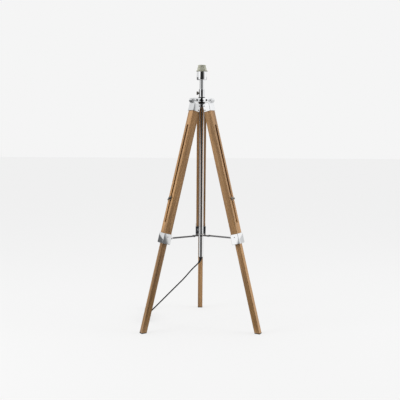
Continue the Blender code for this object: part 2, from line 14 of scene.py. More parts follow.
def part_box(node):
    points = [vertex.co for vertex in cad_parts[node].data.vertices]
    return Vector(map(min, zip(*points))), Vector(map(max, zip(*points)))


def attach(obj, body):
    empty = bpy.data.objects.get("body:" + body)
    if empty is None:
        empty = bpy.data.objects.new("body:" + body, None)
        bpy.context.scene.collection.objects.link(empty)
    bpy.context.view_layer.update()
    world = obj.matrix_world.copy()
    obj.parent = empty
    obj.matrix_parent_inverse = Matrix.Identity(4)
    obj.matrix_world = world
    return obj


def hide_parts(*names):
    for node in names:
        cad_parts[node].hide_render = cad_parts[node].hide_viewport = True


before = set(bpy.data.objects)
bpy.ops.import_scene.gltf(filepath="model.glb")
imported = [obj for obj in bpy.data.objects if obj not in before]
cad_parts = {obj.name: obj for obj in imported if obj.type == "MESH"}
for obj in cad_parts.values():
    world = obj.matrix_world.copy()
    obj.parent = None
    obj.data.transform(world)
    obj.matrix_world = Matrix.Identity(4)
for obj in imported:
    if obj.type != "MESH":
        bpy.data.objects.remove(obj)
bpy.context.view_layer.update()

GAP = 0.0003
LEGS = {"left": 210.0, "right": 330.0, "rear": 90.0}
AXIS = Vector((0.0, sum(c[1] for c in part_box("column_tube")) / 2, 0.0))

# --- hub and hinges
HINGE_R, HINGE_Z = 0.0415, 0.897
KNUCKLE_R = 0.0095
LEG_TILT = radians(14.5)
HUB_R, HUB_BOTTOM, HUB_TOP = 0.014, 0.889, 0.910
EAR_IN, EAR_OUT = 0.008, 0.013
BOLT_R = 0.003
HUB_SCREW_R = 0.0285

# --- legs, in the leg's frame
OUTER_FACE = -0.003
UPPER_DEPTH, UPPER_WIDTH = 0.0285, 0.038
LOWER_DEPTH, LOWER_WIDTH = 0.021, 0.020
CENTRE_X = OUTER_FACE - UPPER_DEPTH / 2
UPPER_TOP, UPPER_END = 0.0209, 0.5665
CAVITY_TOP = 0.0600
SLOT_TOP, SLOT_END, SLOT_WIDTH = 0.0967, 0.4888, 0.0105
LOWER_TOP = 0.369
SCREW_DOWN = 0.3938
SCREW_TURN = {"left": 42.0, "right": -6.0, "rear": 20.0}
PAD_H = 0.003
PLATE = 0.002
BRACKET_TOP, BRACKET_END, CHEEK_IN = 0.0098, 0.0405, -0.0295
COLLAR_TOP, COLLAR_END, COLLAR_WALL = 0.530, 0.570, 0.0025
FOOT_DOWN = (HINGE_Z + CENTRE_X * sin(LEG_TILT)) / cos(LEG_TILT)
FOOT_R = HINGE_R + CENTRE_X * cos(LEG_TILT) + FOOT_DOWN * sin(LEG_TILT)

# --- spreader
RING_Z, RING_R, RING_HALF = 0.360, 0.013, 0.006
ROD_R, ROD_SIDE = 0.0032, 0.0068
LUG_R, ARM_R = 0.137, 0.034
EYE_R, PIN_R = 0.004, 0.0015

# --- column, stem and lampholder
TUBE_R, TUBE_WALL, TUBE_BOTTOM = 0.0095, 0.0012, 0.274
SLEEVE_R, SLEEVE_WALL, SLEEVE_TOP = 0.011, 0.0015, 0.942
STEM_R, STEM_WALL = 0.008, 0.0010
STEM_BOTTOM, CUP_BOTTOM = 0.760, 0.978
THUMB_Z, THUMB_REACH, THUMB_HOLE_R = 0.926, 0.0208, 0.0028
NUT_R, NUT_H = 0.0105, 0.004
CUP_R, CUP_TOP = 0.020, 0.0335
FLANGE_R, FLANGE_H = 0.0237, 0.0020
STEP_R, STEP_H = 0.0196, 0.0004
LAMP_TOP = 1.036
FLEX_BOTTOM = 0.325

# --- mains lead
CORD_R = 0.0025
BOOT_LENGTH, BOOT_BEND = 0.026, radians(42.0)
CORD_SIDE = radians(186.0)
LEAD_ROUTE = [
    (-0.0364, -0.0058, 0.2218),
    (-0.0686, -0.0153, 0.1866),
    (-0.1011, -0.0248, 0.1556),
    (-0.1330, -0.0343, 0.1252),
    (-0.1647, -0.0428, 0.0947),
    (-0.1926, -0.0465, 0.0675),
    (-0.2036, -0.0405, 0.0562),
    (-0.2094, -0.0262, 0.0482),
    (-0.2115, -0.0085, 0.0422),
    (-0.2116, 0.0080, 0.0388),
]
HANK_AT = (-0.2186, 0.0769)
HANK_HEADING = radians(90.6)
HANK_IN = (-0.0510, -0.0075, 0.0378)
TAIL_ROUTE = [
    (0.0555, 0.0075, 0.0328),
    (0.0640, 0.0073, 0.0326),
    (0.0720, 0.0062, 0.0305),
    (0.0800, 0.0038, 0.0258),
    (0.0880, 0.0012, 0.0205),
    (0.0960, 0.0000, 0.0179),
    (0.1075, 0.0000, 0.0178),
]
FOLD_X, FOLD_R, FOLD_LEVEL = 0.040, 0.015, 0.0178
PLUG_BOOT, PLUG_LENGTH = 0.022, 0.036
PLUG_HALF, PLUG_HALF_THICK = 0.0175, 0.007
PLUG_PIN_R, PLUG_PIN_LENGTH, PLUG_PIN_APART = 0.002, 0.019, 0.0186


# ---------------------------------------------------------------- shapes

def join(*shapes):
    """Puts several shapes into the first one."""
    whole = shapes[0]
    for shape in shapes[1:]:
        mesh = bpy.data.meshes.new("part")
        shape.to_mesh(mesh)
        shape.free()
        whole.from_mesh(mesh)
        bpy.data.meshes.remove(mesh)
    return whole


def moved(bm, location=(0, 0, 0), rotation=None):
    matrix = Matrix.Translation(location)
    if rotation:
        angle, axis = rotation
        matrix = matrix @ Matrix.Rotation(angle, 4, axis)
    bmesh.ops.transform(bm, verts=bm.verts, matrix=matrix)
    return bm


def turn_to(bm, along):
    if along == "X":
        bmesh.ops.rotate(bm, verts=bm.verts, matrix=Matrix.Rotation(pi / 2, 3, "Y"))
    if along == "Y":
        bmesh.ops.rotate(bm, verts=bm.verts, matrix=Matrix.Rotation(-pi / 2, 3, "X"))


def lathe(profile, sides=64, along="Z", shape=None):
    """Turns (radius, height) points about an axis; shape(radius, height, angle) may change a radius."""
    bm = bmesh.new()
    rings = []
    for radius, height in profile:
        if radius == 0:
            rings.append([bm.verts.new((0, 0, height))])
            continue
        row = []
        for i in range(sides):
            angle = 2 * pi * i / sides
            r = shape(radius, height, angle) if shape else radius
            row.append(bm.verts.new((r * cos(angle), r * sin(angle), height)))
        rings.append(row)
    pairs = list(zip(rings, rings[1:]))
    if profile[0][0] != 0:
        pairs.append((rings[-1], rings[0]))
    for lower, upper in pairs:
        for i in range(sides):
            j = (i + 1) % sides
            corners = [lower[i % len(lower)], lower[j % len(lower)], upper[j % len(upper)],
                upper[i % len(upper)]]
            bm.faces.new(list(dict.fromkeys(corners)))
    bmesh.ops.recalc_face_normals(bm, faces=bm.faces)
    turn_to(bm, along)
    return bm


def rod(radius, start, end, edge=0.0, sides=48, along="Z"):
    if edge:
        profile = [(0, start), (radius - edge, start), (radius, start + edge), (radius, end - edge),
            (radius - edge, end), (0, end)]
    else:
        profile = [(0, start), (radius, start), (radius, end), (0, end)]
    return lathe(profile, sides, along)


def tube(inner, outer, start, end, edge=0.0003, sides=64, along="Z"):
    profile = [(inner, start + edge), (inner + edge, start), (outer - edge, start), (outer, start + edge),
        (outer, end - edge), (outer - edge, end), (inner + edge, end), (inner, end - edge)]
    return lathe(profile, sides, along)


def box(low, high):
    bm = bmesh.new()
    bmesh.ops.create_cube(bm, size=1.0)
    size, centre = Vector(high) - Vector(low), (Vector(high) + Vector(low)) / 2
    place = Matrix.Translation(centre) @ Matrix.Diagonal((*size, 1))
    bmesh.ops.transform(bm, verts=bm.verts, matrix=place)
    return bm


def prism(outline, low, high, along):
    """Extrudes an outline: (x, z) along Y, (y, z) along X or (x, y) along Z."""
    bm = bmesh.new()
    place = {"X": lambda u, v, w: (w, u, v), "Y": lambda u, v, w: (u, w, v), "Z": lambda u, v, w: (u, v, w)}
    ends = [[bm.verts.new(place[along](u, v, level)) for u, v in outline] for level in (low, high)]
    bm.faces.new(ends[0])
    bm.faces.new(ends[1][::-1])
    for i in range(len(outline)):
        j = (i + 1) % len(outline)
        bm.faces.new([ends[0][i], ends[0][j], ends[1][j], ends[1][i]])
    bmesh.ops.recalc_face_normals(bm, faces=bm.faces)
    return bm


def rounded(bm, width, segments=3, angle=40.0):
    """Rounds the edges that turn by more than the angle."""
    edges = [e for e in bm.edges if len(e.link_faces) == 2 and e.calc_face_angle(0) > radians(angle)]
    bmesh.ops.bevel(bm, geom=edges, offset=width, segments=segments, profile=0.5, affect="EDGES",
        clamp_overlap=True)
    return bm


def arc(centre, radius, start, end, steps):
    angles = [radians(start + (end - start) * i / steps) for i in range(steps + 1)]
    return [(centre[0] + radius * cos(a), centre[1] + radius * sin(a)) for a in angles]


def smooth_line(points, spacing):
    """Evenly spaced points on a Catmull-Rom curve through the given points."""
    ends = [2 * points[0] - points[1], *points, 2 * points[-1] - points[-2]]
    fine = []
    for before, a, b, after in zip(ends, ends[1:], ends[2:], ends[3:]):
        for i in range(24):
            t = i / 24
            fine.append(0.5 * (2 * a + (b - before) * t + (2 * before - 5 * a + 4 * b - after) * t * t
                               + (3 * a - before - 3 * b + after) * t ** 3))
    fine.append(points[-1])
    return even_line(fine, spacing)


def even_line(points, spacing):
    lengths = [0.0]
    for a, b in zip(points, points[1:]):
        lengths.append(lengths[-1] + (b - a).length)
    count = ceil(lengths[-1] / spacing)
    line = []
    k = 0
    for i in range(count + 1):
        goal = lengths[-1] * i / count
        while k < len(points) - 2 and lengths[k + 1] < goal:
            k += 1
        line.append(points[k].lerp(points[k + 1], (goal - lengths[k]) / (lengths[k + 1] - lengths[k])))
    return line


def line_length(points):
    return sum((b - a).length for a, b in zip(points, points[1:]))


def swept_mesh(points, radii, sides=32):
    """A round bar along points, its ends closed, with no twist."""
    bm = bmesh.new()
    rings = []
    side = Vector((0.3, 1.0, 0.1))
    for i, point in enumerate(points):
        ahead = points[min(i + 1, len(points) - 1)]
        behind = points[max(i - 1, 0)]
        way = (ahead - behind).normalized()
        side = (side - way * side.dot(way)).normalized()
        other = way.cross(side)
        ring = []
        for k in range(sides):
            a = 2 * pi * k / sides
            ring.append(bm.verts.new(point + (side * cos(a) + other * sin(a)) * radii[i]))
        rings.append(ring)
    for lower, upper in zip(rings, rings[1:]):
        for k in range(sides):
            j = (k + 1) % sides
            bm.faces.new([lower[k], lower[j], upper[j], upper[k]])
    bm.faces.new(rings[0][::-1])
    bm.faces.new(rings[-1])
    bmesh.ops.recalc_face_normals(bm, faces=bm.faces)
    return bm


def cut(bm, *tools):
    """The shape with the tools cut out of it."""
    def temporary(shape, name):
        mesh = bpy.data.meshes.new(name)
        shape.to_mesh(mesh)
        shape.free()
        obj = bpy.data.objects.new(name, mesh)
        bpy.context.scene.collection.objects.link(obj)
        return obj
    base = temporary(bm, "base")
    cutters = [temporary(tool, "tool") for tool in tools]
    for cutter in cutters:
        boolean = base.modifiers.new("cut", "BOOLEAN")
        boolean.operation = "DIFFERENCE"
        boolean.solver = "EXACT"
        boolean.object = cutter
    evaluated = base.evaluated_get(bpy.context.evaluated_depsgraph_get())
    result = bmesh.new()
    result.from_mesh(evaluated.to_mesh())
    evaluated.to_mesh_clear()
    for obj in (base, *cutters):
        mesh = obj.data
        bpy.data.objects.remove(obj, do_unlink=True)
        bpy.data.meshes.remove(mesh)
    return result


# ---------------------------------------------------------------- materials

def node(tree, kind, values=None, **settings):
    made = tree.nodes.new("ShaderNode" + kind)
    for key, value in settings.items():
        setattr(made, key, value)
    for key, value in (values or {}).items():
        if isinstance(value, bpy.types.NodeSocket):
            tree.links.new(value, made.inputs[key])
        else:
            made.inputs[key].default_value = value
    return made


def new_material(name, **shader_values):
    material = bpy.data.materials.new(name)
    material.use_nodes = True
    tree = material.node_tree
    shader = tree.nodes["Principled BSDF"]
    for key, value in shader_values.items():
        shader.inputs[key.replace("_", " ")].default_value = value
    return material, tree, shader


def stretched(tree, scale, offset=(0, 0, 0)):
    values = {"Vector": node(tree, "TexCoord").outputs["Object"], "Scale": scale, "Location": offset}
    return node(tree, "Mapping", values).outputs["Vector"]


def noise(tree, vector, scale=1.0, detail=3.0, rough=0.5, distortion=0.0):
    values = {"Vector": vector, "Scale": scale, "Detail": detail, "Roughness": rough}
    return node(tree, "TexNoise", {**values, "Distortion": distortion}).outputs["Fac"]


def ramp(tree, factor, stops, mode="LINEAR"):
    made = node(tree, "ValToRGB", {"Fac": factor})
    made.color_ramp.interpolation = mode
    elements = made.color_ramp.elements
    while len(elements) < len(stops):
        elements.new(0.5)
    for element, (place, colour) in zip(elements, stops):
        element.position = place
        element.color = (*colour, 1.0) if hasattr(colour, "__len__") else (colour, colour, colour, 1.0)
    return made.outputs["Color"]


def remap(tree, value, low, high, to_low, to_high):
    values = {"Value": value, "From Min": low, "From Max": high, "To Min": to_low, "To Max": to_high}
    return node(tree, "MapRange", values).outputs["Result"]


def blend_colour(tree, factor, a, b, mode="MIX"):
    made = node(tree, "Mix", data_type="RGBA", blend_type=mode)
    for index, value in ((0, factor), (6, a), (7, b)):
        if isinstance(value, bpy.types.NodeSocket):
            tree.links.new(value, made.inputs[index])
        else:
            made.inputs[index].default_value = value
    return made.outputs[2]


def bump(tree, shader, height, strength, distance):
    made = node(tree, "Bump", {"Height": height, "Strength": strength, "Distance": distance})
    tree.links.new(made.outputs["Normal"], shader.inputs["Normal"])


def wood(name, seed, dark, middle, light):
    """Straight-grained hardwood with its grain along Z."""
    material, tree, shader = new_material(name, Specular_IOR_Level=0.60)
    shift = (seed * 1.7, seed * 3.1, seed * 0.9)
    grain = noise(tree, stretched(tree, (150, 150, 4.5), shift), detail=5, rough=0.62, distortion=0.6)
    broad = noise(tree, stretched(tree, (22, 22, 2.2), shift), detail=2, distortion=1.2)
    pores = noise(tree, stretched(tree, (1300, 1300, 45), shift), detail=1)
    fleck = noise(tree, stretched(tree, (420, 420, 16), shift), detail=3, rough=0.7)
    colour = ramp(tree, grain, [(0.30, dark), (0.50, middle), (0.70, light)])
    tone = ramp(tree, broad, [(0.32, 0.72), (0.52, 1.0), (0.72, 1.12)])
    colour = blend_colour(tree, 1.0, colour, tone, "MULTIPLY")
    spots = ramp(tree, pores, [(0.30, 0.55), (0.42, 1.0)])
    colour = blend_colour(tree, 0.75, colour, spots, "MULTIPLY")
    streaks = ramp(tree, fleck, [(0.35, 0.80), (0.55, 1.0), (0.75, 1.08)])
    colour = blend_colour(tree, 0.8, colour, streaks, "MULTIPLY")
    tree.links.new(colour, shader.inputs["Base Color"])
    tree.links.new(remap(tree, grain, 0.3, 0.7, 0.56, 0.40), shader.inputs["Roughness"])
    height = node(tree, "Math", {0: grain, 1: pores}, operation="MULTIPLY").outputs[0]
    bump(tree, shader, height, 0.35, 0.0004)
    return material


def chrome(name, colour=(0.88, 0.89, 0.90), rough=0.05):
    """Bright plate with faint polish lines and a slight orange peel."""
    material, tree, shader = new_material(name, Metallic=1.0, Base_Color=(*colour, 1.0))
    haze = noise(tree, stretched(tree, (60, 60, 60)), detail=4, rough=0.6)
    lines = noise(tree, stretched(tree, (90, 90, 2600)), detail=2)
    smear = node(tree, "Math", {0: haze, 1: lines}, operation="MULTIPLY").outputs[0]
    tree.links.new(remap(tree, smear, 0.12, 0.45, rough, rough + 0.09), shader.inputs["Roughness"])
    peel = noise(tree, stretched(tree, (350, 350, 350)), detail=1)
    bump(tree, shader, peel, 0.05, 0.0002)
    return material


def dark_metal(name, dark, middle, worn):
    """Dark metal, rubbed brighter in places."""
    material, tree, shader = new_material(name, Metallic=1.0)
    wear = noise(tree, stretched(tree, (260, 260, 260)), detail=5, rough=0.7)
    colour = ramp(tree, wear, [(0.35, dark), (0.60, middle), (0.80, worn)])
    tree.links.new(colour, shader.inputs["Base Color"])
    tree.links.new(remap(tree, wear, 0.3, 0.8, 0.45, 0.24), shader.inputs["Roughness"])
    bump(tree, shader, wear, 0.2, 0.0002)
    return material


def plastic(name, colour, rough, grain_scale, grain, coat=0.0):
    """Moulded plastic or rubber with a fine eroded grain and slight tone changes."""
    material, tree, shader = new_material(name, Coat_Weight=coat, Specular_IOR_Level=0.4)
    tone = noise(tree, stretched(tree, (45, 45, 45)), detail=3)
    darker = tuple(c * 0.86 for c in colour)
    lighter = tuple(min(1.0, c * 1.08) for c in colour)
    tree.links.new(ramp(tree, tone, [(0.3, darker), (0.7, lighter)]), shader.inputs["Base Color"])
    texture = noise(tree, stretched(tree, (grain_scale,) * 3), detail=3, rough=0.6)
    tree.links.new(remap(tree, texture, 0.3, 0.7, rough - 0.06, rough + 0.08), shader.inputs["Roughness"])
    bump(tree, shader, texture, grain, 0.0003)
    return material


def brass(name):
    material, tree, shader = new_material(name, Metallic=1.0)
    tarnish = noise(tree, stretched(tree, (180, 180, 180)), detail=4, rough=0.65)
    colour = ramp(tree, tarnish, [(0.35, (0.48, 0.31, 0.11)), (0.65, (0.80, 0.60, 0.28))])
    tree.links.new(colour, shader.inputs["Base Color"])
    tree.links.new(remap(tree, tarnish, 0.3, 0.7, 0.34, 0.18), shader.inputs["Roughness"])
    bump(tree, shader, tarnish, 0.1, 0.0002)
    return material


CHROME = chrome("chrome_plate")
SMOKED = chrome("smoked_chrome", (0.16, 0.16, 0.165), 0.10)
DARK = dark_metal("bronzed_screw_metal", (0.20, 0.185, 0.16), (0.34, 0.31, 0.27), (0.58, 0.53, 0.46))
BLACKENED = dark_metal(
    "blackened_steel", (0.016, 0.016, 0.015), (0.030, 0.029, 0.027), (0.090, 0.085, 0.080))
CREAM = plastic("cream_thermoplastic", (0.42, 0.42, 0.34), 0.42, 900, 0.15)
BLACK = plastic("black_moulded_plastic", (0.016, 0.016, 0.017), 0.42, 1400, 0.35)
RUBBER = plastic("black_rubber", (0.014, 0.014, 0.014), 0.72, 900, 0.5)
SHEATH = plastic("cable_sheath", (0.012, 0.012, 0.013), 0.46, 1800, 0.2)
NYLON = plastic("natural_nylon", (0.78, 0.77, 0.72), 0.40, 700, 0.1)
CERAMIC = plastic("glazed_porcelain", (0.80, 0.78, 0.72), 0.22, 500, 0.1, 0.5)
BRASS = brass("bright_brass")
PIN = brass("plug_pin_brass")
UPPER_TONES = (0.265, 0.128, 0.042), (0.395, 0.210, 0.076), (0.50, 0.290, 0.118)
LOWER_TONES = (0.230, 0.110, 0.036), (0.355, 0.188, 0.067), (0.455, 0.262, 0.104)
# seed of the grain and depth of the tone: upper leg, lower leg; the rear upper leg's depth of 0.70 is painted
# shade, its whole board made darker for the shade that it stands in
BOARDS = {"left": (1.0, 1.0, 5.2, 0.86), "right": (2.3, 1.05, 6.6, 1.08), "rear": (3.9, 0.70, 8.1, 1.0)}


# depth darkens every tone of a board; on the rear upper leg it is painted shade
def board(name, seed, depth, tones):
    return wood(name, seed, *[tuple(channel * depth for channel in tone) for tone in tones])


UPPER_WOOD = {leg: board("upper_wood_" + leg, b[0], b[1], UPPER_TONES) for leg, b in BOARDS.items()}
LOWER_WOOD = {leg: board("lower_wood_" + leg, b[2], b[3], LOWER_TONES) for leg, b in BOARDS.items()}


# ---------------------------------------------------------------- making pieces

COLUMN = Matrix.Translation(AXIS)


def leg_place(azimuth):
    turn = radians(azimuth)
    hinge = AXIS + Vector((HINGE_R * cos(turn), HINGE_R * sin(turn), HINGE_Z))
    return Matrix.Translation(hinge) @ Matrix.Rotation(turn, 4, "Z") @ Matrix.Rotation(-LEG_TILT, 4, "Y")


def piece(name, bm, material, body, stands_for="", place=COLUMN, angle=35.0):
    """A finished piece on a body; stands_for names the CAD nodes that it replaces, with spaces between."""
    mesh = bpy.data.meshes.new(name)
    bm.to_mesh(mesh)
    bm.free()
    mesh.shade_smooth()
    mesh.set_sharp_from_angle(angle=radians(angle))
    mesh.materials.append(material)
    obj = bpy.data.objects.new(name, mesh)
    bpy.context.scene.collection.objects.link(obj)
    obj.matrix_world = place
    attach(obj, body)
    if stands_for:
        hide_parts(*stands_for.split())
    return obj


# ---------------------------------------------------------------- camera and mains lead

CAMERA_AT = (-0.02011, -2.76746, 0.79844)
CAMERA_HEADING, CAMERA_DOWN, CAMERA_ROLL = radians(-0.314), radians(3.571), radians(0.33)
CAMERA_LENS, CAMERA_SENSOR, CAMERA_SHIFT = 61.291, 36.0, -0.08


def make_camera():
    data = bpy.data.cameras.new("camera")
    data.sensor_width = CAMERA_SENSOR
    data.lens = CAMERA_LENS
    data.shift_y = CAMERA_SHIFT
    data.clip_start = 0.05
    data.clip_end = 60.0
    camera = bpy.data.objects.new("camera", data)
    camera.location = CAMERA_AT
    look = Matrix.Rotation(CAMERA_HEADING, 3, "Z") @ Matrix.Rotation(pi / 2 - CAMERA_DOWN, 3, "X")
    camera.rotation_euler = (look @ Matrix.Rotation(CAMERA_ROLL, 3, "Z")).to_euler()
    bpy.context.scene.collection.objects.link(camera)
    bpy.context.scene.camera = camera


def boot_line():
    """The strain relief's centre line: straight down, then bent over to the lead's side."""
    side = Vector((cos(CORD_SIDE), sin(CORD_SIDE), 0))
    straight = 0.002
    radius = (BOOT_LENGTH - straight) / BOOT_BEND
    start = Vector((0, 0, TUBE_BOTTOM - GAP))
    points = [start, start - Vector((0, 0, straight))]
    steps = 40
    for i in range(1, steps + 1):
        a = BOOT_BEND * i / steps
        points.append(points[1] + side * radius * (1 - cos(a)) - Vector((0, 0, radius * sin(a))))
    return points


HANK = COLUMN @ Matrix.Translation((*HANK_AT, 0)) @ Matrix.Rotation(HANK_HEADING, 4, "Z")


def fold(centre_x, radius, level, side, shift, outward):
    """Half a turn of lead at one end of the hank; outward is 1 at the far end and -1 at the near end."""
    points = []
    steps = 16
    for i in range(steps + 1):
        a = pi * i / steps
        ease = (1 - cos(a)) / 2
        up = cos(a) if outward > 0 else -cos(a)
        x = centre_x + outward * radius * sin(a)
        points.append(Vector((x, side + shift * ease, level + radius * up)))
    return points


def hank_line():
    """The lead's winding on its edge: one long turn outside, then four side by side."""
    sides = [-0.0075, -0.0025, 0.0025, 0.0075]
    entry_r = FOLD_R + CORD_R
    points = [Vector(HANK_IN), Vector((-0.020, sides[0], HANK_IN[2])), Vector((0.010, sides[0], HANK_IN[2]))]
    points += fold(FOLD_X + 0.003, entry_r, HANK_IN[2] - entry_r, sides[0], 0.0, 1)
    points += fold(-FOLD_X, FOLD_R, FOLD_LEVEL, sides[0], 0.0, -1)
    for before, after in zip(sides, sides[1:]):
        points += fold(FOLD_X, FOLD_R, FOLD_LEVEL, before, after - before, 1)
        points += fold(-FOLD_X, FOLD_R, FOLD_LEVEL, after, 0.0, -1)
    points.append(Vector((FOLD_X, sides[-1], FOLD_LEVEL + FOLD_R)))
    return points


def make_lead():
    boot = boot_line()
    out = (boot[-1] - boot[-2]).normalized()
    entry = COLUMN.inverted() @ HANK @ Vector(HANK_IN)
    before_entry = COLUMN.inverted() @ HANK @ (Vector(HANK_IN) + Vector((0.012, 0, 0)))
    points = [boot[-1] + out * GAP, boot[-1] + out * 0.010, *map(Vector, LEAD_ROUTE), entry, before_entry]
    lead = [COLUMN @ p for p in smooth_line(points, 0.004)]
    winding = [HANK @ p for p in hank_line()[1:]]
    tail = [HANK @ p for p in smooth_line([Vector(p) for p in TAIL_ROUTE], 0.004)]
    line = even_line(lead + winding + tail, 0.0030)
    curve = bpy.data.curves.new("mains_lead", "CURVE")
    curve.dimensions = "3D"
    curve.bevel_depth = CORD_R
    curve.bevel_resolution = 5
    curve.use_fill_caps = True
    spline = curve.splines.new("POLY")
    spline.points.add(len(line) - 1)
    for place, point in zip(spline.points, line):
        place.co = (*point, 1.0)
    spline.use_smooth = True
    curve.materials.append(SHEATH)
    cord = bpy.data.objects.new("mains_lead", curve)
    bpy.context.scene.collection.objects.link(cord)
    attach(cord, "column")
    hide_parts("cord_lead", "cord_hank", "cord_tail")
    pieces = [make_tie(), *make_plug()]
    print("lead length", round(line_length(line), 4))


def make_tie():
    """A flat band round the hank, with a small buckle on top."""
    reach, low, high = 0.0102, 0.0008, 0.0406
    band, thick = 0.0027, 0.0008
    outer = box((-band, -reach - thick, low - 0.0006), (band, reach + thick, high + thick))
    rounded(outer, 0.0018, 4)
    room = rounded(box((-0.02, -reach, low), (0.02, reach, high)), 0.0012, 3)
    strap = cut(outer, room)
    buckle = rounded(box((-0.0034, -0.0045, high + thick - 0.0006), (0.0034, 0.0035, high + 0.0024)), 0.0005)
    end = rounded(box((-0.0022, 0.0030, high + 0.0006), (0.0022, 0.0100, high + 0.0016)), 0.0004)
    return piece("cord_tie_band", join(strap, buckle, end), BLACK, "column", "cord_tie", HANK)


def make_plug():
    level = TAIL_ROUTE[-1][2]
    start = TAIL_ROUTE[-1][0] + GAP
    profile = [(CORD_R + 0.0001, start)]
    ribs = 7
    for i in range(ribs):
        x = start + PLUG_BOOT * i / ribs
        step = PLUG_BOOT / ribs
        r = 0.0034 + 0.0021 * i / ribs
        profile += [(r, x + 0.0002), (r + 0.0003, x + step * 0.3), (r + 0.0003, x + step * 0.62),
            (r - 0.0006, x + step * 0.70), (r - 0.0006, x + step * 0.96)]
    profile += [(0.0055, start + PLUG_BOOT), (0, start + PLUG_BOOT)]
    profile = [(0, start)] + profile
    boot = piece("plug_boot", moved(lathe(profile, 40, "X"), (0, 0, level)), BLACK, "column",
        "plug_strain_relief", HANK)
    back = start + PLUG_BOOT + GAP
    face = back + PLUG_LENGTH
    upper = [(back, 0.0095), (back + 0.004, 0.0135), (back + 0.009, 0.0163), (back + 0.014, PLUG_HALF),
        (face, PLUG_HALF)]
    outline = [(x, level - z) for x, z in upper] + [(x, level + z) for x, z in reversed(upper)]
    body = rounded(prism(outline, -PLUG_HALF_THICK, PLUG_HALF_THICK, "Y"), 0.0022, 4, 25.0)
    for side in (-1, 1):
        for i in range(5):
            x = back + 0.012 + 0.003 * i
            grip = box((x, side * (PLUG_HALF_THICK - 0.0003), level - 0.008),
                (x + 0.0014, side * (PLUG_HALF_THICK + 0.0005), level + 0.008))
            body = join(body, rounded(grip, 0.0004, 2))
    made = [boot, piece("plug_moulding", body, BLACK, "column", "plug_body", HANK)]
    for word, side in (("lower", -1), ("upper", 1)):
        place = (0, 0, level + side * PLUG_PIN_APART / 2)
        tip = face + GAP + PLUG_PIN_LENGTH
        sleeve = moved(rod(0.00195, face + GAP, face + 0.0095, 0.0002, 32, "X"), place)
        profile = [(0, face + 0.009), (PLUG_PIN_R, face + 0.009), (PLUG_PIN_R, tip - 0.0014),
            (0.0017, tip - 0.0006), (0.0010, tip), (0, tip)]
        made.append(piece("plug_pin_sleeve_" + word, sleeve, BLACK, "column", place=HANK))
        made.append(piece("plug_contact_" + word, moved(lathe(profile, 32, "X"), place), PIN, "column",
            "plug_pin_" + word, HANK))
    return made


# ---------------------------------------------------------------- column

def hexagon(radius, angle):
    return radius * cos(pi / 6) / cos((angle % (pi / 3)) - pi / 6)


def socket_head(radius, height, socket, start):
    """A button head with a hexagon socket, from start outwards along +Z."""
    crown = [(radius, start), (radius, start + height * 0.35), (radius * 0.93, start + height * 0.68),
        (radius * 0.78, start + height * 0.90), (socket * 1.35, start + height)]
    inner = [(socket, start + height * 0.96), (socket, start + height * 0.35), (0, start + height * 0.25)]
    profile = [(0, start)] + crown + inner
    return lathe(profile, 48, "Z", lambda r, z, a: hexagon(r, a) if r == socket else r)


def make_hub():
    sides = 72
    boss = lathe([(TUBE_R + GAP, HUB_BOTTOM), (HUB_R - 0.001, HUB_BOTTOM), (HUB_R, HUB_BOTTOM + 0.001),
        (HUB_R, HUB_TOP - 0.0015), (HUB_R - 0.0015, HUB_TOP), (TUBE_R + GAP, HUB_TOP)], sides)
    piece("hub_boss", boss, BLACKENED, "column")
    shapes = []
    screws = []
    top = HINGE_Z + KNUCKLE_R
    for azimuth in LEGS.values():
        for side in (-1, 1):
            outline = arc((HINGE_R, HINGE_Z), KNUCKLE_R, -90, 90, 28)
            outline += [(0.0200, top + 0.0001), (0.0115, top), (0.0115, HUB_BOTTOM + 0.0012),
                (HINGE_R - KNUCKLE_R, HUB_BOTTOM + 0.0012)]
            low, high = sorted((side * EAR_IN, side * EAR_OUT))
            ear = rounded(prism(outline, low, high, "Y"), 0.0009, 3)
            ear = cut(ear, moved(rod(BOLT_R + GAP, -0.03, 0.03, 0, 32, "Y"), (HINGE_R, 0, HINGE_Z)))
            shapes.append(moved(ear, rotation=(radians(azimuth), "Z")))
            head = moved(socket_head(0.0038, 0.0020, 0.0016, EAR_OUT), rotation=(-side * pi / 2, "X"))
            head = moved(head, (HUB_SCREW_R, 0, HINGE_Z + 0.001))
            screws.append(moved(head, rotation=(radians(azimuth), "Z")))
        web = rounded(box((0.0125, -EAR_IN - 0.001, HUB_BOTTOM + 0.004),
            (0.0185, EAR_IN + 0.001, top - 0.003)), 0.0010)
        shapes.append(moved(web, rotation=(radians(azimuth), "Z")))
    piece("hub_casting", join(*shapes), CHROME, "column", "hub")
    piece("hub_screws", join(*screws), BLACKENED, "column")
    for leg, azimuth in LEGS.items():
        hinge = Matrix.Translation((HINGE_R, 0, HINGE_Z))
        place = COLUMN @ Matrix.Rotation(radians(azimuth), 4, "Z") @ hinge
        shank = rod(BOLT_R, -EAR_OUT - 0.0005, EAR_OUT + 0.0005, 0, 32, "Y")
        heads = [shank]
        for side in (-1, 1):
            washer = tube(BOLT_R, 0.0066, EAR_OUT + 0.0001, EAR_OUT + 0.0009, 0.0002, 48)
            head = join(socket_head(0.0056, 0.0033, 0.0019, EAR_OUT + 0.0009), washer)
            heads.append(moved(head, rotation=(-side * pi / 2, "X")))
        piece("hinge_bolt_set_" + leg, join(*heads), CHROME, "column", "hinge_bolt_" + leg, place)


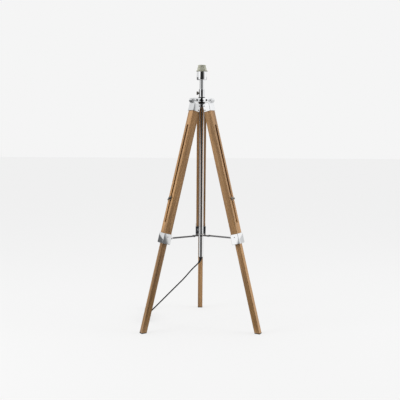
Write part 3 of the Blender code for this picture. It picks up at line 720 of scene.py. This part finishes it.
def make_column():
    bore = TUBE_R - TUBE_WALL
    piece("column_pipe", tube(bore, TUBE_R, TUBE_BOTTOM, HUB_TOP - 0.0005), CHROME, "column", "column_tube")
    nut_r, edge_r, grooves = 0.012, 0.0112, 24

    def grooved(r, z, a):
        return r - (0.0004 * (sin(grooves * a) > 0.3) if r > nut_r - 0.0001 else 0)
    nut = lathe([(TUBE_R + GAP, HUB_BOTTOM - 0.005), (edge_r, HUB_BOTTOM - 0.005),
        (nut_r, HUB_BOTTOM - 0.0042), (nut_r, HUB_BOTTOM - 0.0011), (edge_r, HUB_BOTTOM - GAP),
        (TUBE_R + GAP, HUB_BOTTOM - GAP)], 144, "Z", grooved)
    piece("hub_ring_nut", nut, BLACKENED, "column", "hub_lock_ring")
    bush_r = SLEEVE_R - SLEEVE_WALL
    low, high = HUB_TOP + GAP, SLEEVE_TOP
    sleeve = [(bush_r, low), (SLEEVE_R + 0.0006, low), (SLEEVE_R + 0.0006, low + 0.0022),
        (SLEEVE_R, low + 0.0028), (SLEEVE_R, high - 0.0050), (SLEEVE_R - 0.0004, high - 0.0047),
        (SLEEVE_R - 0.0004, high - 0.0042), (SLEEVE_R, high - 0.0039), (SLEEVE_R, high - 0.0012),
        (SLEEVE_R - 0.0010, high), (bush_r, high)]
    hole = moved(rod(THUMB_HOLE_R, -SLEEVE_R - 0.001, -0.004, 0, 32, "X"), (0, 0, THUMB_Z))
    piece("stem_guide", cut(lathe(sleeve, 72), hole), CHROME, "column", "stem_sleeve")
    bush = tube(STEM_R + GAP / 2, bush_r, low + 0.001, high - 0.0004, 0.0003)
    hole = moved(rod(THUMB_HOLE_R, -SLEEVE_R - 0.001, -0.004, 0, 32, "X"), (0, 0, THUMB_Z))
    piece("stem_guide_bush", cut(bush, hole), NYLON, "column", "stem_bush")


def make_gland():
    bore = TUBE_R - TUBE_WALL - GAP
    plug = rod(bore, TUBE_BOTTOM - 0.0002, TUBE_BOTTOM + 0.012, 0.0005, 48)
    piece("cord_clamp", plug, BLACK, "column", "cord_clamp_plug")
    line = boot_line()
    first, last = 0.0080, CORD_R + 0.0010
    even = even_line(line, 0.00045)
    radii = []
    for i in range(len(even)):
        along = i / (len(even) - 1)
        r = first + (last - first) * max(0.0, (along - 0.10) / 0.90) ** 0.6
        rib = 0.0 if along < 0.16 or along > 0.94 else 0.00045 * (1 if sin(along * 2 * pi * 8) > 0 else -1)
        radii.append(r + rib)
    piece("lead_boot", swept_mesh(even, radii, 40), BLACK, "column", "strain_relief")


# ---------------------------------------------------------------- stem and lampholder

def thread(base, depth, pitch, start, end):
    """A radius function for a round thread between two heights."""
    def shape(r, z, a):
        if abs(r - base) > 1e-6:
            return r
        phase = ((z / pitch) - a / (2 * pi)) % 1.0
        fade = min(1.0, max(0.0, (z - start) / pitch), max(0.0, (end - z) / pitch))
        return r + depth * fade * (0.5 + 0.5 * cos(2 * pi * phase))
    return shape


def rows(radius, low, high, count):
    return [(radius, low + (high - low) * i / count) for i in range(count + 1)]


def make_stem():
    bore = STEM_R - STEM_WALL
    piece("stem_pipe", tube(bore, STEM_R, STEM_BOTTOM, CUP_BOTTOM), CHROME, "stem", "stem_tube")
    low, high = CUP_BOTTOM - 0.010, CUP_BOTTOM + 0.0085
    nipple = lathe([(0.0035, low)] + rows(bore - 0.0007, low, high, 60) + [(0.0035, high)], 48, "Z",
        thread(bore - 0.0007, 0.0004, 0.001, low, high))
    piece("nipple_thread", nipple, BRASS, "stem", "threaded_nipple")
    nut_low = CUP_BOTTOM + 0.002 + GAP
    inner, outer = NUT_R - 0.0005, NUT_R
    nut = lathe([(bore, nut_low), (inner, nut_low), (outer, nut_low + 0.0004),
        (outer, nut_low + NUT_H - 0.0004), (inner, nut_low + NUT_H), (bore, nut_low + NUT_H)], 72, "Z",
        lambda r, z, a: hexagon(r, a) if r > bore else r)
    piece("nipple_hex_nut", nut, BRASS, "stem", "nipple_nut")
    piece("inner_lead", rod(CORD_R, FLEX_BOTTOM, CUP_BOTTOM + 0.0085, 0.0003, 32), SHEATH, "stem",
        "inner_flex")


def make_lampholder():
    base, rim = CUP_BOTTOM, CUP_BOTTOM + CUP_TOP
    bore = STEM_R - STEM_WALL
    corner = arc((CUP_R - 0.0022, base + 0.0022), 0.0022, -90, 0, 6)
    cup = lathe([(bore, base)] + corner + [(CUP_R, rim - 0.0005), (CUP_R - 0.0003, rim),
        (CUP_R - 0.0008, rim), (CUP_R - 0.001, rim - 0.0004), (CUP_R - 0.001, base + 0.003),
        (CUP_R - 0.003, base + 0.002), (bore, base + 0.002)], 96)
    piece("chrome_cup", cup, CHROME, "stem", "lampholder_cup")

    skirt, floor_z = CUP_R - 0.001 - GAP, base + 0.010
    flange = rim + GAP
    neck, wall = 0.0160, 0.0142
    low, high = flange + FLANGE_H + STEP_H, LAMP_TOP
    outer = rows(neck - 0.0009, low + 0.0004, high - 0.0042, 72)
    profile = [(0.004, floor_z), (skirt, floor_z), (skirt, flange), (FLANGE_R - 0.0006, flange),
        (FLANGE_R, flange + 0.0005), (FLANGE_R, flange + 0.0014), (FLANGE_R - 0.0006, flange + FLANGE_H),
        (STEP_R, flange + FLANGE_H), (STEP_R, low)]
    profile += [(neck - 0.0009, low)] + outer
    profile += [(neck, high - 0.0038), (neck, high - 0.0008), (neck - 0.0006, high), (wall + 0.0004, high),
        (wall, high - 0.0006), (wall, floor_z + 0.002), (0.004, floor_z + 0.002)]
    turned_thread = thread(neck - 0.0009, 0.0009, 0.0030, low, high - 0.0040)
    piece("lampholder_shell", lathe(profile, 96, "Z", turned_thread), CREAM, "stem", "lampholder_barrel")
    carrier_low = floor_z + 0.002 + GAP
    carrier = lathe([(0.003, carrier_low), (wall - GAP, carrier_low), (wall - GAP, carrier_low + 0.0054),
        (wall - GAP - 0.0008, carrier_low + 0.006), (0.006, carrier_low + 0.006),
        (0.0054, carrier_low + 0.0048), (0.0046, carrier_low + 0.0048), (0.0040, carrier_low + 0.006),
        (0.003, carrier_low + 0.006)], 64)
    piece("porcelain_carrier", carrier, CERAMIC, "stem", "contact_carrier")
    shell_low = carrier_low + 0.006 + GAP
    shell_high = shell_low + 0.024
    inner = rows(0.0132, shell_low, shell_high, 96)[::-1]
    shell = lathe([(wall - 0.0001, shell_low), (wall - 0.0001, shell_high)] + inner, 96, "Z",
        thread(0.0132, 0.0008, 0.00362, shell_low - 0.004, shell_high + 0.004))
    piece("socket_thread", shell, BRASS, "stem", "screw_shell")
    tip = shell_low
    tongue = prism([(-0.0095, tip), (0.0022, tip), (0.0036, tip + 0.0008), (0.0030, tip + 0.0030),
        (-0.0010, tip + 0.0036), (-0.0022, tip + 0.0030), (-0.0014, tip + 0.0028), (0.0020, tip + 0.0022),
        (0.0022, tip + 0.0010), (-0.0095, tip + 0.0006)], -0.0028, 0.0028, "Y")
    piece("contact_tongue", rounded(tongue, 0.00015, 1), BRASS, "stem", "centre_contact")

    seat = flange + FLANGE_H + STEP_H + GAP
    grip_low, grip_high = seat + 0.0042, seat + 0.0121
    inside = neck + 0.0001
    profile = [(inside, seat), (0.0190, seat), (0.0194, seat + 0.0005), (0.0194, seat + 0.0028),
        (0.0188, seat + 0.0036), (0.0186, grip_low)]
    grip = grip_high - grip_low - 0.001
    profile += [(0.0186 - 0.0012 * i / 6, grip_low + grip * i / 6) for i in range(1, 7)]
    profile += [(0.0166, grip_high), (inside, grip_high)]

    def grips(r, z, a):
        if z < grip_low + 0.0004 or z > grip_high - 0.0007 or r < 0.0170:
            return r
        return r - (0.0005 if cos(18 * a) < -0.35 else 0.0)
    piece("shade_nut", lathe(profile, 180, "Z", grips), CREAM, "shade_ring", "shade_ring")


def make_thumbscrew():
    """The stem's knurled thumbscrew, along -X."""
    tip, start, end = STEM_R + GAP, SLEEVE_R + GAP, THUMB_REACH
    flat = -start - 0.0024
    profile = [(0, -end + 0.0006), (0.0030, -end + 0.0006), (0.0034, -end), (0.0056, -end),
        (0.0066, -end + 0.0009), (0.0066, flat - 0.0006), (0.0060, flat), (0.0040, flat + 0.0006),
        (0.0040, -start), (0.0025, -start), (0.0025, -tip - 0.0005), (0.0020, -tip), (0, -tip)]

    def knurl(r, z, a):
        return r - (0.00045 * (0.5 - 0.5 * cos(28 * a)) if r > 0.0065 else 0)
    knob = lathe(profile, 168, "X", knurl)
    place = COLUMN @ Matrix.Translation((0, 0, THUMB_Z))
    piece("thumbscrew", knob, DARK, "stem_knob", "stem_thumbscrew", place, angle=50.0)


# ---------------------------------------------------------------- spreader

def make_ring():
    boss = lathe([(TUBE_R + GAP, -RING_HALF), (RING_R - 0.0008, -RING_HALF), (RING_R, -RING_HALF + 0.0008),
        (RING_R, RING_HALF - 0.0008), (RING_R - 0.0008, RING_HALF), (TUBE_R + GAP, RING_HALF)], 72)
    shapes = []
    for azimuth in LEGS.values():
        arm = rod(ROD_R, RING_R - 0.002, ARM_R - 0.003, 0, 32, "X")
        eye = rod(EYE_R, -ROD_R + 0.0001, ROD_R - 0.0001, 0.0004, 40, "Y")
        eye = cut(eye, rod(PIN_R, -0.01, 0.01, 0, 24, "Y"))
        shapes.append(moved(arm, rotation=(radians(azimuth), "Z")))
        shapes.append(moved(moved(eye, (ARM_R, 0, 0)), rotation=(radians(azimuth), "Z")))
    screw = moved(socket_head(0.0022, 0.0012, 0.0009, RING_R - 0.0004), rotation=(pi / 2, "Y"))
    boss = join(boss, moved(screw, rotation=(radians(30), "Z")))
    place = COLUMN @ Matrix.Translation((0, 0, RING_Z))
    piece("spreader_boss", boss, CHROME, "ring", "spreader_ring", place)
    piece("spreader_arms", join(*shapes), SMOKED, "ring", place=place)


def make_rod(leg, azimuth):
    """A rod with a flattened eye at each end and a rivet in its inner eye."""
    reach = LUG_R - ARM_R
    bar = [rod(ROD_R, -reach + 0.003, -0.003, 0.0, 32, "X")]
    for end in (0, -reach):
        eye = rod(EYE_R, -0.002, 0.002, 0.0004, 40, "Y")
        eye = cut(eye, rod(PIN_R + GAP, -0.01, 0.01, 0, 24, "Y")) if end == 0 else eye
        bar.append(moved(eye, (end, 0, 0)))
    inner_end = ROD_SIDE - ROD_R + 0.0010
    rivet = [(0, -inner_end), (PIN_R, -inner_end), (PIN_R, -0.0034), (0.0027, -0.0034), (0.0027, -0.0019),
        (PIN_R, -0.0019), (PIN_R, 0.0019), (0.0024, 0.0019), (0.0024, 0.0023), (0.0014, 0.0030),
        (0, 0.0031)]
    bar.append(moved(lathe([(r, -z) for r, z in rivet][::-1], 32, "Y"), (-reach, 0, 0)))
    turn = radians(azimuth)
    lug = Vector((LUG_R * cos(turn), LUG_R * sin(turn), RING_Z))
    place = COLUMN @ Matrix.Translation(lug) @ Matrix.Rotation(turn, 4, "Z")
    place = place @ Matrix.Translation((0, ROD_SIDE, 0))
    piece("spreader_bar_" + leg, join(*bar), SMOKED, "rod_" + leg, "spreader_rod_" + leg, place)


# ---------------------------------------------------------------- legs

def slot_outline(width, top, end):
    half = width / 2
    return arc((0, -top - half), half, 0, 180, 24) + arc((0, -end + half), half, 180, 360, 24)


def make_upper_leg(leg, place):
    inner_face, half = OUTER_FACE - UPPER_DEPTH, UPPER_WIDTH / 2
    block = rounded(box((inner_face, -half, -UPPER_END), (OUTER_FACE, half, -UPPER_TOP)), 0.0014, 4)
    room_x, room_y = LOWER_DEPTH / 2 + GAP, LOWER_WIDTH / 2 + GAP
    cavity = box((CENTRE_X - room_x, -room_y, -UPPER_END - 0.01), (CENTRE_X + room_x, room_y, -CAVITY_TOP))
    slot = prism(slot_outline(SLOT_WIDTH, SLOT_TOP, SLOT_END), CENTRE_X, OUTER_FACE + 0.01, "X")
    ease = 0.0007
    lip = slot_outline(SLOT_WIDTH + 2 * ease, SLOT_TOP - ease, SLOT_END + ease)
    chamfer = prism(lip, OUTER_FACE - ease, OUTER_FACE + ease, "X")
    for vert in [v for v in chamfer.verts if v.co.x < OUTER_FACE]:
        y, z = vert.co.y, vert.co.z
        middle = min(max(z, -SLOT_END + SLOT_WIDTH / 2), -SLOT_TOP - SLOT_WIDTH / 2)
        shrink = (SLOT_WIDTH / 2 - 0.0007 + ease) / (SLOT_WIDTH / 2 + ease)
        vert.co.y, vert.co.z = y * shrink, middle + (z - middle) * shrink
    piece("upper_leg_" + leg, cut(block, cavity, slot, chamfer), UPPER_WOOD[leg], "upper_" + leg,
        "upper_leg_%s_a upper_leg_%s_b" % (leg, leg), place)


def pan_screw(radius, height):
    """A pan head with a cross recess, standing on z = 0."""
    head = lathe([(0, -0.0006), (radius, -0.0006), (radius, height * 0.35), (radius * 0.86, height * 0.75),
        (radius * 0.55, height * 0.97), (0, height)], 36)
    arm = radius * 0.62
    width = radius * 0.16
    across = box((-arm, -width, height * 0.35), (arm, width, height + 0.001))
    along = box((-width, -arm, height * 0.35), (width, arm, height + 0.001))
    return cut(head, across, along)


def make_bracket(leg, place):
    side, face = UPPER_WIDTH / 2 + GAP, OUTER_FACE + GAP
    shell = rounded(box((CHEEK_IN, -side - PLATE, -BRACKET_END),
        (face + PLATE, side + PLATE, -BRACKET_TOP)), 0.0013, 4)
    inside, notch, under = CHEEK_IN - 0.01, CHEEK_IN + 0.006, -BRACKET_TOP - PLATE
    room = prism([(inside, -BRACKET_END - 0.01), (face, -BRACKET_END - 0.01), (face, under), (notch, under),
        (notch, 0.01), (inside, 0.01)], -side, side, "Y")
    half = EAR_IN - GAP
    neck = rounded(box((-0.0085, -half + 0.0007, -BRACKET_TOP - 0.001),
        (face + 0.001, half - 0.0007, -0.003)), 0.0006)
    barrel = rod(KNUCKLE_R, -half, half, 0.0006, 64, "Y")
    barrel = cut(barrel, rod(BOLT_R + GAP, -0.03, 0.03, 0, 32, "Y"))
    piece("leg_bracket_" + leg, join(cut(shell, room), neck, barrel), CHROME, "upper_" + leg,
        "top_bracket_" + leg, place)
    screws = []
    for s in (-1, 1):
        for x, z in ((CHEEK_IN + 0.0055, -BRACKET_TOP - 0.0075), (CHEEK_IN + 0.0055, -BRACKET_END + 0.0062)):
            head = moved(pan_screw(0.0024, 0.0013), rotation=(radians(25), "Z"))
            head = moved(head, rotation=(-s * pi / 2, "X"))
            screws.append(moved(head, (x, s * (side + PLATE), z)))
    piece("bracket_screws_" + leg, join(*screws), DARK, "upper_" + leg, place=place)


def lug_place():
    out, down = LUG_R - HINGE_R, HINGE_Z - RING_Z
    return (out * cos(LEG_TILT) - down * sin(LEG_TILT), -out * sin(LEG_TILT) - down * cos(LEG_TILT))


def make_collar(leg, place):
    side = UPPER_WIDTH / 2 + GAP
    outer, inner = OUTER_FACE + GAP, OUTER_FACE - UPPER_DEPTH - GAP
    wall = COLLAR_WALL
    body = rounded(box((inner - wall, -side - wall, -COLLAR_END), (outer + wall, side + wall, -COLLAR_TOP)),
        0.0014, 4)
    room = box((inner, -side, -UPPER_END - GAP), (outer, side, 0.01 - COLLAR_TOP))
    room_x, room_y = LOWER_DEPTH / 2 + GAP, LOWER_WIDTH / 2 + GAP
    guide = box((CENTRE_X - room_x, -room_y, -COLLAR_END - 0.01), (CENTRE_X + room_x, room_y, -COLLAR_TOP))
    shapes = [cut(body, room, guide)]
    x, z = lug_place()
    back, half = inner - wall / 2, ROD_R + 2 * GAP
    for low in (ROD_SIDE - half - 0.002, ROD_SIDE + half):
        ear = arc((x, z), EYE_R, 90, 270, 20) + [(back, z - EYE_R - 0.0015), (back, z + EYE_R + 0.0015)]
        ear = rounded(prism(ear, low, low + 0.002, "Y"), 0.0004, 2)
        shapes.append(cut(ear, moved(rod(PIN_R, -0.02, 0.02, 0, 24, "Y"), (x, 0, z))))
    piece("collar_casting_" + leg, join(*shapes), CHROME, "upper_" + leg, "leg_collar_" + leg, place)
    ends = half + 0.002
    pin = [(0, -ends - 0.0015), (0.0016, -ends - 0.0013), (0.0028, -ends - 0.0004), (0.0028, -ends),
        (PIN_R, -ends), (PIN_R, ends), (0.0028, ends), (0.0028, ends + 0.0004), (0.0016, ends + 0.0013),
        (0, ends + 0.0015)]
    piece("rod_rivet_" + leg, moved(lathe(pin, 32, "Y"), (x, ROD_SIDE, z)), CHROME, "upper_" + leg,
        "rod_pin_" + leg, place)
    screws = []
    for s in (-1, 1):
        head = moved(pan_screw(0.0020, 0.0006), rotation=(radians(-20), "Z"))
        head = moved(head, rotation=(-s * pi / 2, "X"))
        screws.append(moved(head, (CENTRE_X, s * (side + wall), -COLLAR_TOP - 0.012)))
    piece("collar_screws_" + leg, join(*screws), DARK, "upper_" + leg, place=place)


def make_lower_leg(leg, place):
    bm = bmesh.new()
    rings = []
    for level in (None, -LOWER_TOP):
        corners = []
        for sx, sy in ((-1, -1), (1, -1), (1, 1), (-1, 1)):
            x, y = CENTRE_X + sx * LOWER_DEPTH / 2, sy * LOWER_WIDTH / 2
            foot = (PAD_H - HINGE_Z - x * sin(LEG_TILT)) / cos(LEG_TILT)
            corners.append(bm.verts.new((x, y, foot if level is None else level)))
        rings.append(corners)
    bm.faces.new(rings[0][::-1])
    bm.faces.new(rings[1])
    for i in range(4):
        j = (i + 1) % 4
        bm.faces.new([rings[0][i], rings[0][j], rings[1][j], rings[1][i]])
    bmesh.ops.recalc_face_normals(bm, faces=bm.faces)
    rounded(bm, 0.0010, 3)
    face = CENTRE_X + LOWER_DEPTH / 2
    bore = moved(rod(0.004, face - 0.012, face + 0.01, 0, 32, "X"), (0, 0, -SCREW_DOWN))
    piece("lower_leg_bar_" + leg, cut(bm, bore), LOWER_WOOD[leg], "lower_" + leg, "lower_leg_" + leg, place)
    insert = moved(tube(0.0027, 0.0039, face - 0.0115, face - 0.0003, 0.0002, 40, "X"), (0, 0, -SCREW_DOWN))
    piece("screw_insert_" + leg, insert, BRASS, "lower_" + leg, "thread_insert_" + leg, place)


def make_foot_pad(leg, azimuth):
    half_x, half_y = LOWER_DEPTH / cos(LEG_TILT) / 2, LOWER_WIDTH / 2
    pad = rounded(box((-half_x, -half_y, 0), (half_x, half_y, PAD_H)), 0.0008, 3)
    for i in range(-2, 3):
        low, high = (i * 0.0036 - 0.0005, -half_y - 0.001, -0.001), (i * 0.0036 + 0.0005, half_y + 0.001,
            0.0005)
        groove = rounded(box(low, high), 0.0001, 1)
        pad = cut(pad, groove)
    turn = radians(azimuth)
    foot = Matrix.Translation((FOOT_R * cos(turn), FOOT_R * sin(turn), 0))
    place = COLUMN @ foot @ Matrix.Rotation(turn, 4, "Z")
    piece("foot_rubber_" + leg, pad, RUBBER, "lower_" + leg, "foot_pad_" + leg, place)


def make_wing_screw(leg, place):
    seat, length = GAP, 0.0128
    washer = tube(0.0026, 0.0075, seat, seat + 0.0013, 0.0003, 48, "X")
    shank = lathe([(0, -length), (0.0018, -length), (0.0025, -length + 0.0007), (0.0025, seat + 0.002),
        (0, seat + 0.002)], 32, "X")
    boss = lathe([(0, seat + 0.0011), (0.0050, seat + 0.0011), (0.0052, seat + 0.0016), (0.0046, 0.0035),
        (0.0044, 0.0075), (0.0038, 0.0092), (0.0022, 0.0100), (0, 0.0101)], 48, "X")
    shapes = [washer, shank, boss]
    for side in (-1, 1):
        start = -110 if side > 0 else 70
        lobe = arc((side * 0.0096, 0.0002), 0.0037, start, start + 220, 14)
        root = [(side * 0.0030, 0.0030), (side * 0.0030, -0.0030)]
        outline = lobe + (root if side > 0 else root[::-1])
        shapes.append(rounded(prism(outline, 0.0044, 0.0076, "X"), 0.0010, 3, 30.0))
    turned = moved(join(*shapes), rotation=(radians(SCREW_TURN[leg]), "X"))
    at = place @ Matrix.Translation((OUTER_FACE, 0, -SCREW_DOWN))
    piece("wing_knob_" + leg, turned, DARK, "knob_" + leg, "wing_screw_" + leg, at)


# ---------------------------------------------------------------- floor, light

FLOOR_HALF, FLOOR_LEVEL = 14.0, -0.0002
LIT_HEIGHT = 0.55               # the height that the softboxes point at
# name, place, size and power
SOFTBOXES = [
    ("left_softbox", (-1.9, -1.0, 1.5), (1.2, 1.8), 24.0),
    ("right_softbox", (2.0, -0.3, 1.4), (1.0, 1.8), 16.0),
]
FRONT = radians(-90.4)          # direction from the lamp to the main viewpoint
# What lies round the lamp, by the angle from FRONT in degrees: angle, brightness
MIRRORED_LOW = [                # seen in metal, near the level
    (-180, 0.30), (-160, 0.14), (-104, 0.14), (-98, 0.42), (-78, 0.48), (-71, 1.02), (-44, 1.02),
    (-32, 0.03),
    (22, 0.02), (36, 0.12), (48, 0.20), (56, 0.75), (74, 0.80), (82, 1.08), (106, 1.05), (118, 0.68),
    (180, 0.60),
]
MIRRORED_HIGH = [               # seen in metal, higher up
    (-180, 0.70), (-76, 0.80), (-70, 1.05), (-42, 1.05), (-30, 0.03), (22, 0.02), (36, 0.12), (48, 0.20),
    (56, 0.75), (74, 0.80), (82, 1.08), (180, 0.85),
]
SHINING = [                     # lights everything that is not a mirror
    (-180, 0.80), (-120, 1.20), (-95, 1.70), (-65, 1.70), (-50, 0.06), (50, 0.06), (65, 1.70), (95, 1.70),
    (120, 1.20), (180, 0.80),
]


def round_the_lamp(tree, vector):
    """The place round the lamp, 0 to 1 from behind and clockwise seen from above, and the height."""
    parts = node(tree, "SeparateXYZ", {"Vector": vector})
    angle = node(tree, "Math", {0: parts.outputs["Y"], 1: parts.outputs["X"]}, operation="ARCTAN2").outputs[0]
    turned = node(tree, "Math", {0: angle, 1: FRONT}, operation="SUBTRACT").outputs[0]
    wrapped = node(tree, "Math", {0: turned, 1: pi, 2: -pi}, operation="WRAP").outputs[0]
    return remap(tree, wrapped, -pi, pi, 0.0, 1.0), parts.outputs["Z"]


def studio_ramp(tree, place, stops):
    return ramp(tree, place, [((degrees + 180) / 360, level) for degrees, level in stops])


def make_world():
    world = bpy.data.worlds.new("studio")
    world.use_nodes = True
    tree = world.node_tree
    tree.nodes.clear()
    place, height = round_the_lamp(tree, node(tree, "TexCoord").outputs["Generated"])
    rise = remap(tree, height, sin(radians(4.9)), sin(radians(5.5)), 0.0, 1.0)
    mirrored = blend_colour(tree, rise, studio_ramp(tree, place, MIRRORED_LOW),
        studio_ramp(tree, place, MIRRORED_HIGH))
    top = remap(tree, height, sin(radians(52)), sin(radians(62)), 0.0, 1.0)
    mirrored = blend_colour(tree, top, mirrored, (1.0, 1.0, 1.0, 1.0))
    shining = studio_ramp(tree, place, SHINING)
    overhead = remap(tree, height, sin(radians(38)), sin(radians(52)), 0.0, 1.0)
    shining = blend_colour(tree, overhead, shining, (1.05, 1.05, 1.05, 1.0))
    path = node(tree, "LightPath").outputs
    colour = blend_colour(tree, path["Is Glossy Ray"], shining, mirrored)
    colour = blend_colour(tree, path["Is Camera Ray"], colour, (0.913, 0.913, 0.913, 1.0))
    background = node(tree, "Background", {"Color": colour, "Strength": 1.0})
    out = node(tree, "OutputWorld")
    tree.links.new(background.outputs[0], out.inputs["Surface"])
    bpy.context.scene.world = world


def make_floor():
    """White to look at, but lit for the other pieces like the studio round it."""
    material = bpy.data.materials.new("pale_floor")
    material.use_nodes = True
    tree = material.node_tree
    tree.nodes.clear()
    position = node(tree, "NewGeometry").outputs["Position"]
    from_axis = node(tree, "VectorMath", {0: position, 1: tuple(AXIS)}, operation="SUBTRACT").outputs[0]
    place = round_the_lamp(tree, from_axis)[0]
    path = node(tree, "LightPath").outputs
    shining = studio_ramp(tree, place, SHINING)
    seen = blend_colour(tree, path["Is Camera Ray"], shining, (0.74, 0.74, 0.74, 1.0))
    glow = node(tree, "Emission", {"Color": seen, "Strength": 0.95})
    plain = node(tree, "BsdfDiffuse", {"Color": (0.17, 0.17, 0.17, 1.0)})
    lit = node(tree, "AddShader")
    tree.links.new(glow.outputs[0], lit.inputs[0])
    tree.links.new(plain.outputs[0], lit.inputs[1])
    mirrored = node(tree, "Emission", {"Color": studio_ramp(tree, place, MIRRORED_LOW), "Strength": 1.0})
    total = node(tree, "MixShader", {"Fac": path["Is Glossy Ray"]})
    tree.links.new(lit.outputs[0], total.inputs[1])
    tree.links.new(mirrored.outputs[0], total.inputs[2])
    out = node(tree, "OutputMaterial")
    tree.links.new(total.outputs[0], out.inputs["Surface"])
    bm = bmesh.new()
    bmesh.ops.create_grid(bm, x_segments=1, y_segments=1, size=FLOOR_HALF)
    mesh = bpy.data.meshes.new("floor")
    bm.to_mesh(mesh)
    bm.free()
    mesh.materials.append(material)
    floor_obj = bpy.data.objects.new("floor", mesh)
    floor_obj.location = (0, 0, FLOOR_LEVEL)
    bpy.context.scene.collection.objects.link(floor_obj)


def make_light(name, location, size, energy):
    data = bpy.data.lights.new(name, "AREA")
    data.shape = "RECTANGLE"
    data.size, data.size_y = size
    data.energy = energy
    light = bpy.data.objects.new(name, data)
    light.location = location
    way = Vector((0, 0, LIT_HEIGHT)) - Vector(location)
    light.rotation_euler = way.to_track_quat("-Z", "Y").to_euler()
    light.visible_glossy = False
    bpy.context.scene.collection.objects.link(light)


def main():
    make_camera()
    make_lead()
    make_hub()
    make_column()
    make_gland()
    make_stem()
    make_lampholder()
    make_thumbscrew()
    make_ring()
    for leg, azimuth in LEGS.items():
        place = leg_place(azimuth)
        make_upper_leg(leg, place)
        make_bracket(leg, place)
        make_collar(leg, place)
        make_lower_leg(leg, place)
        make_foot_pad(leg, azimuth)
        make_wing_screw(leg, place)
        make_rod(leg, azimuth)
    make_floor()
    make_world()
    for softbox in SOFTBOXES:
        make_light(*softbox)
    bpy.context.scene.view_settings.view_transform = "Standard"


main()
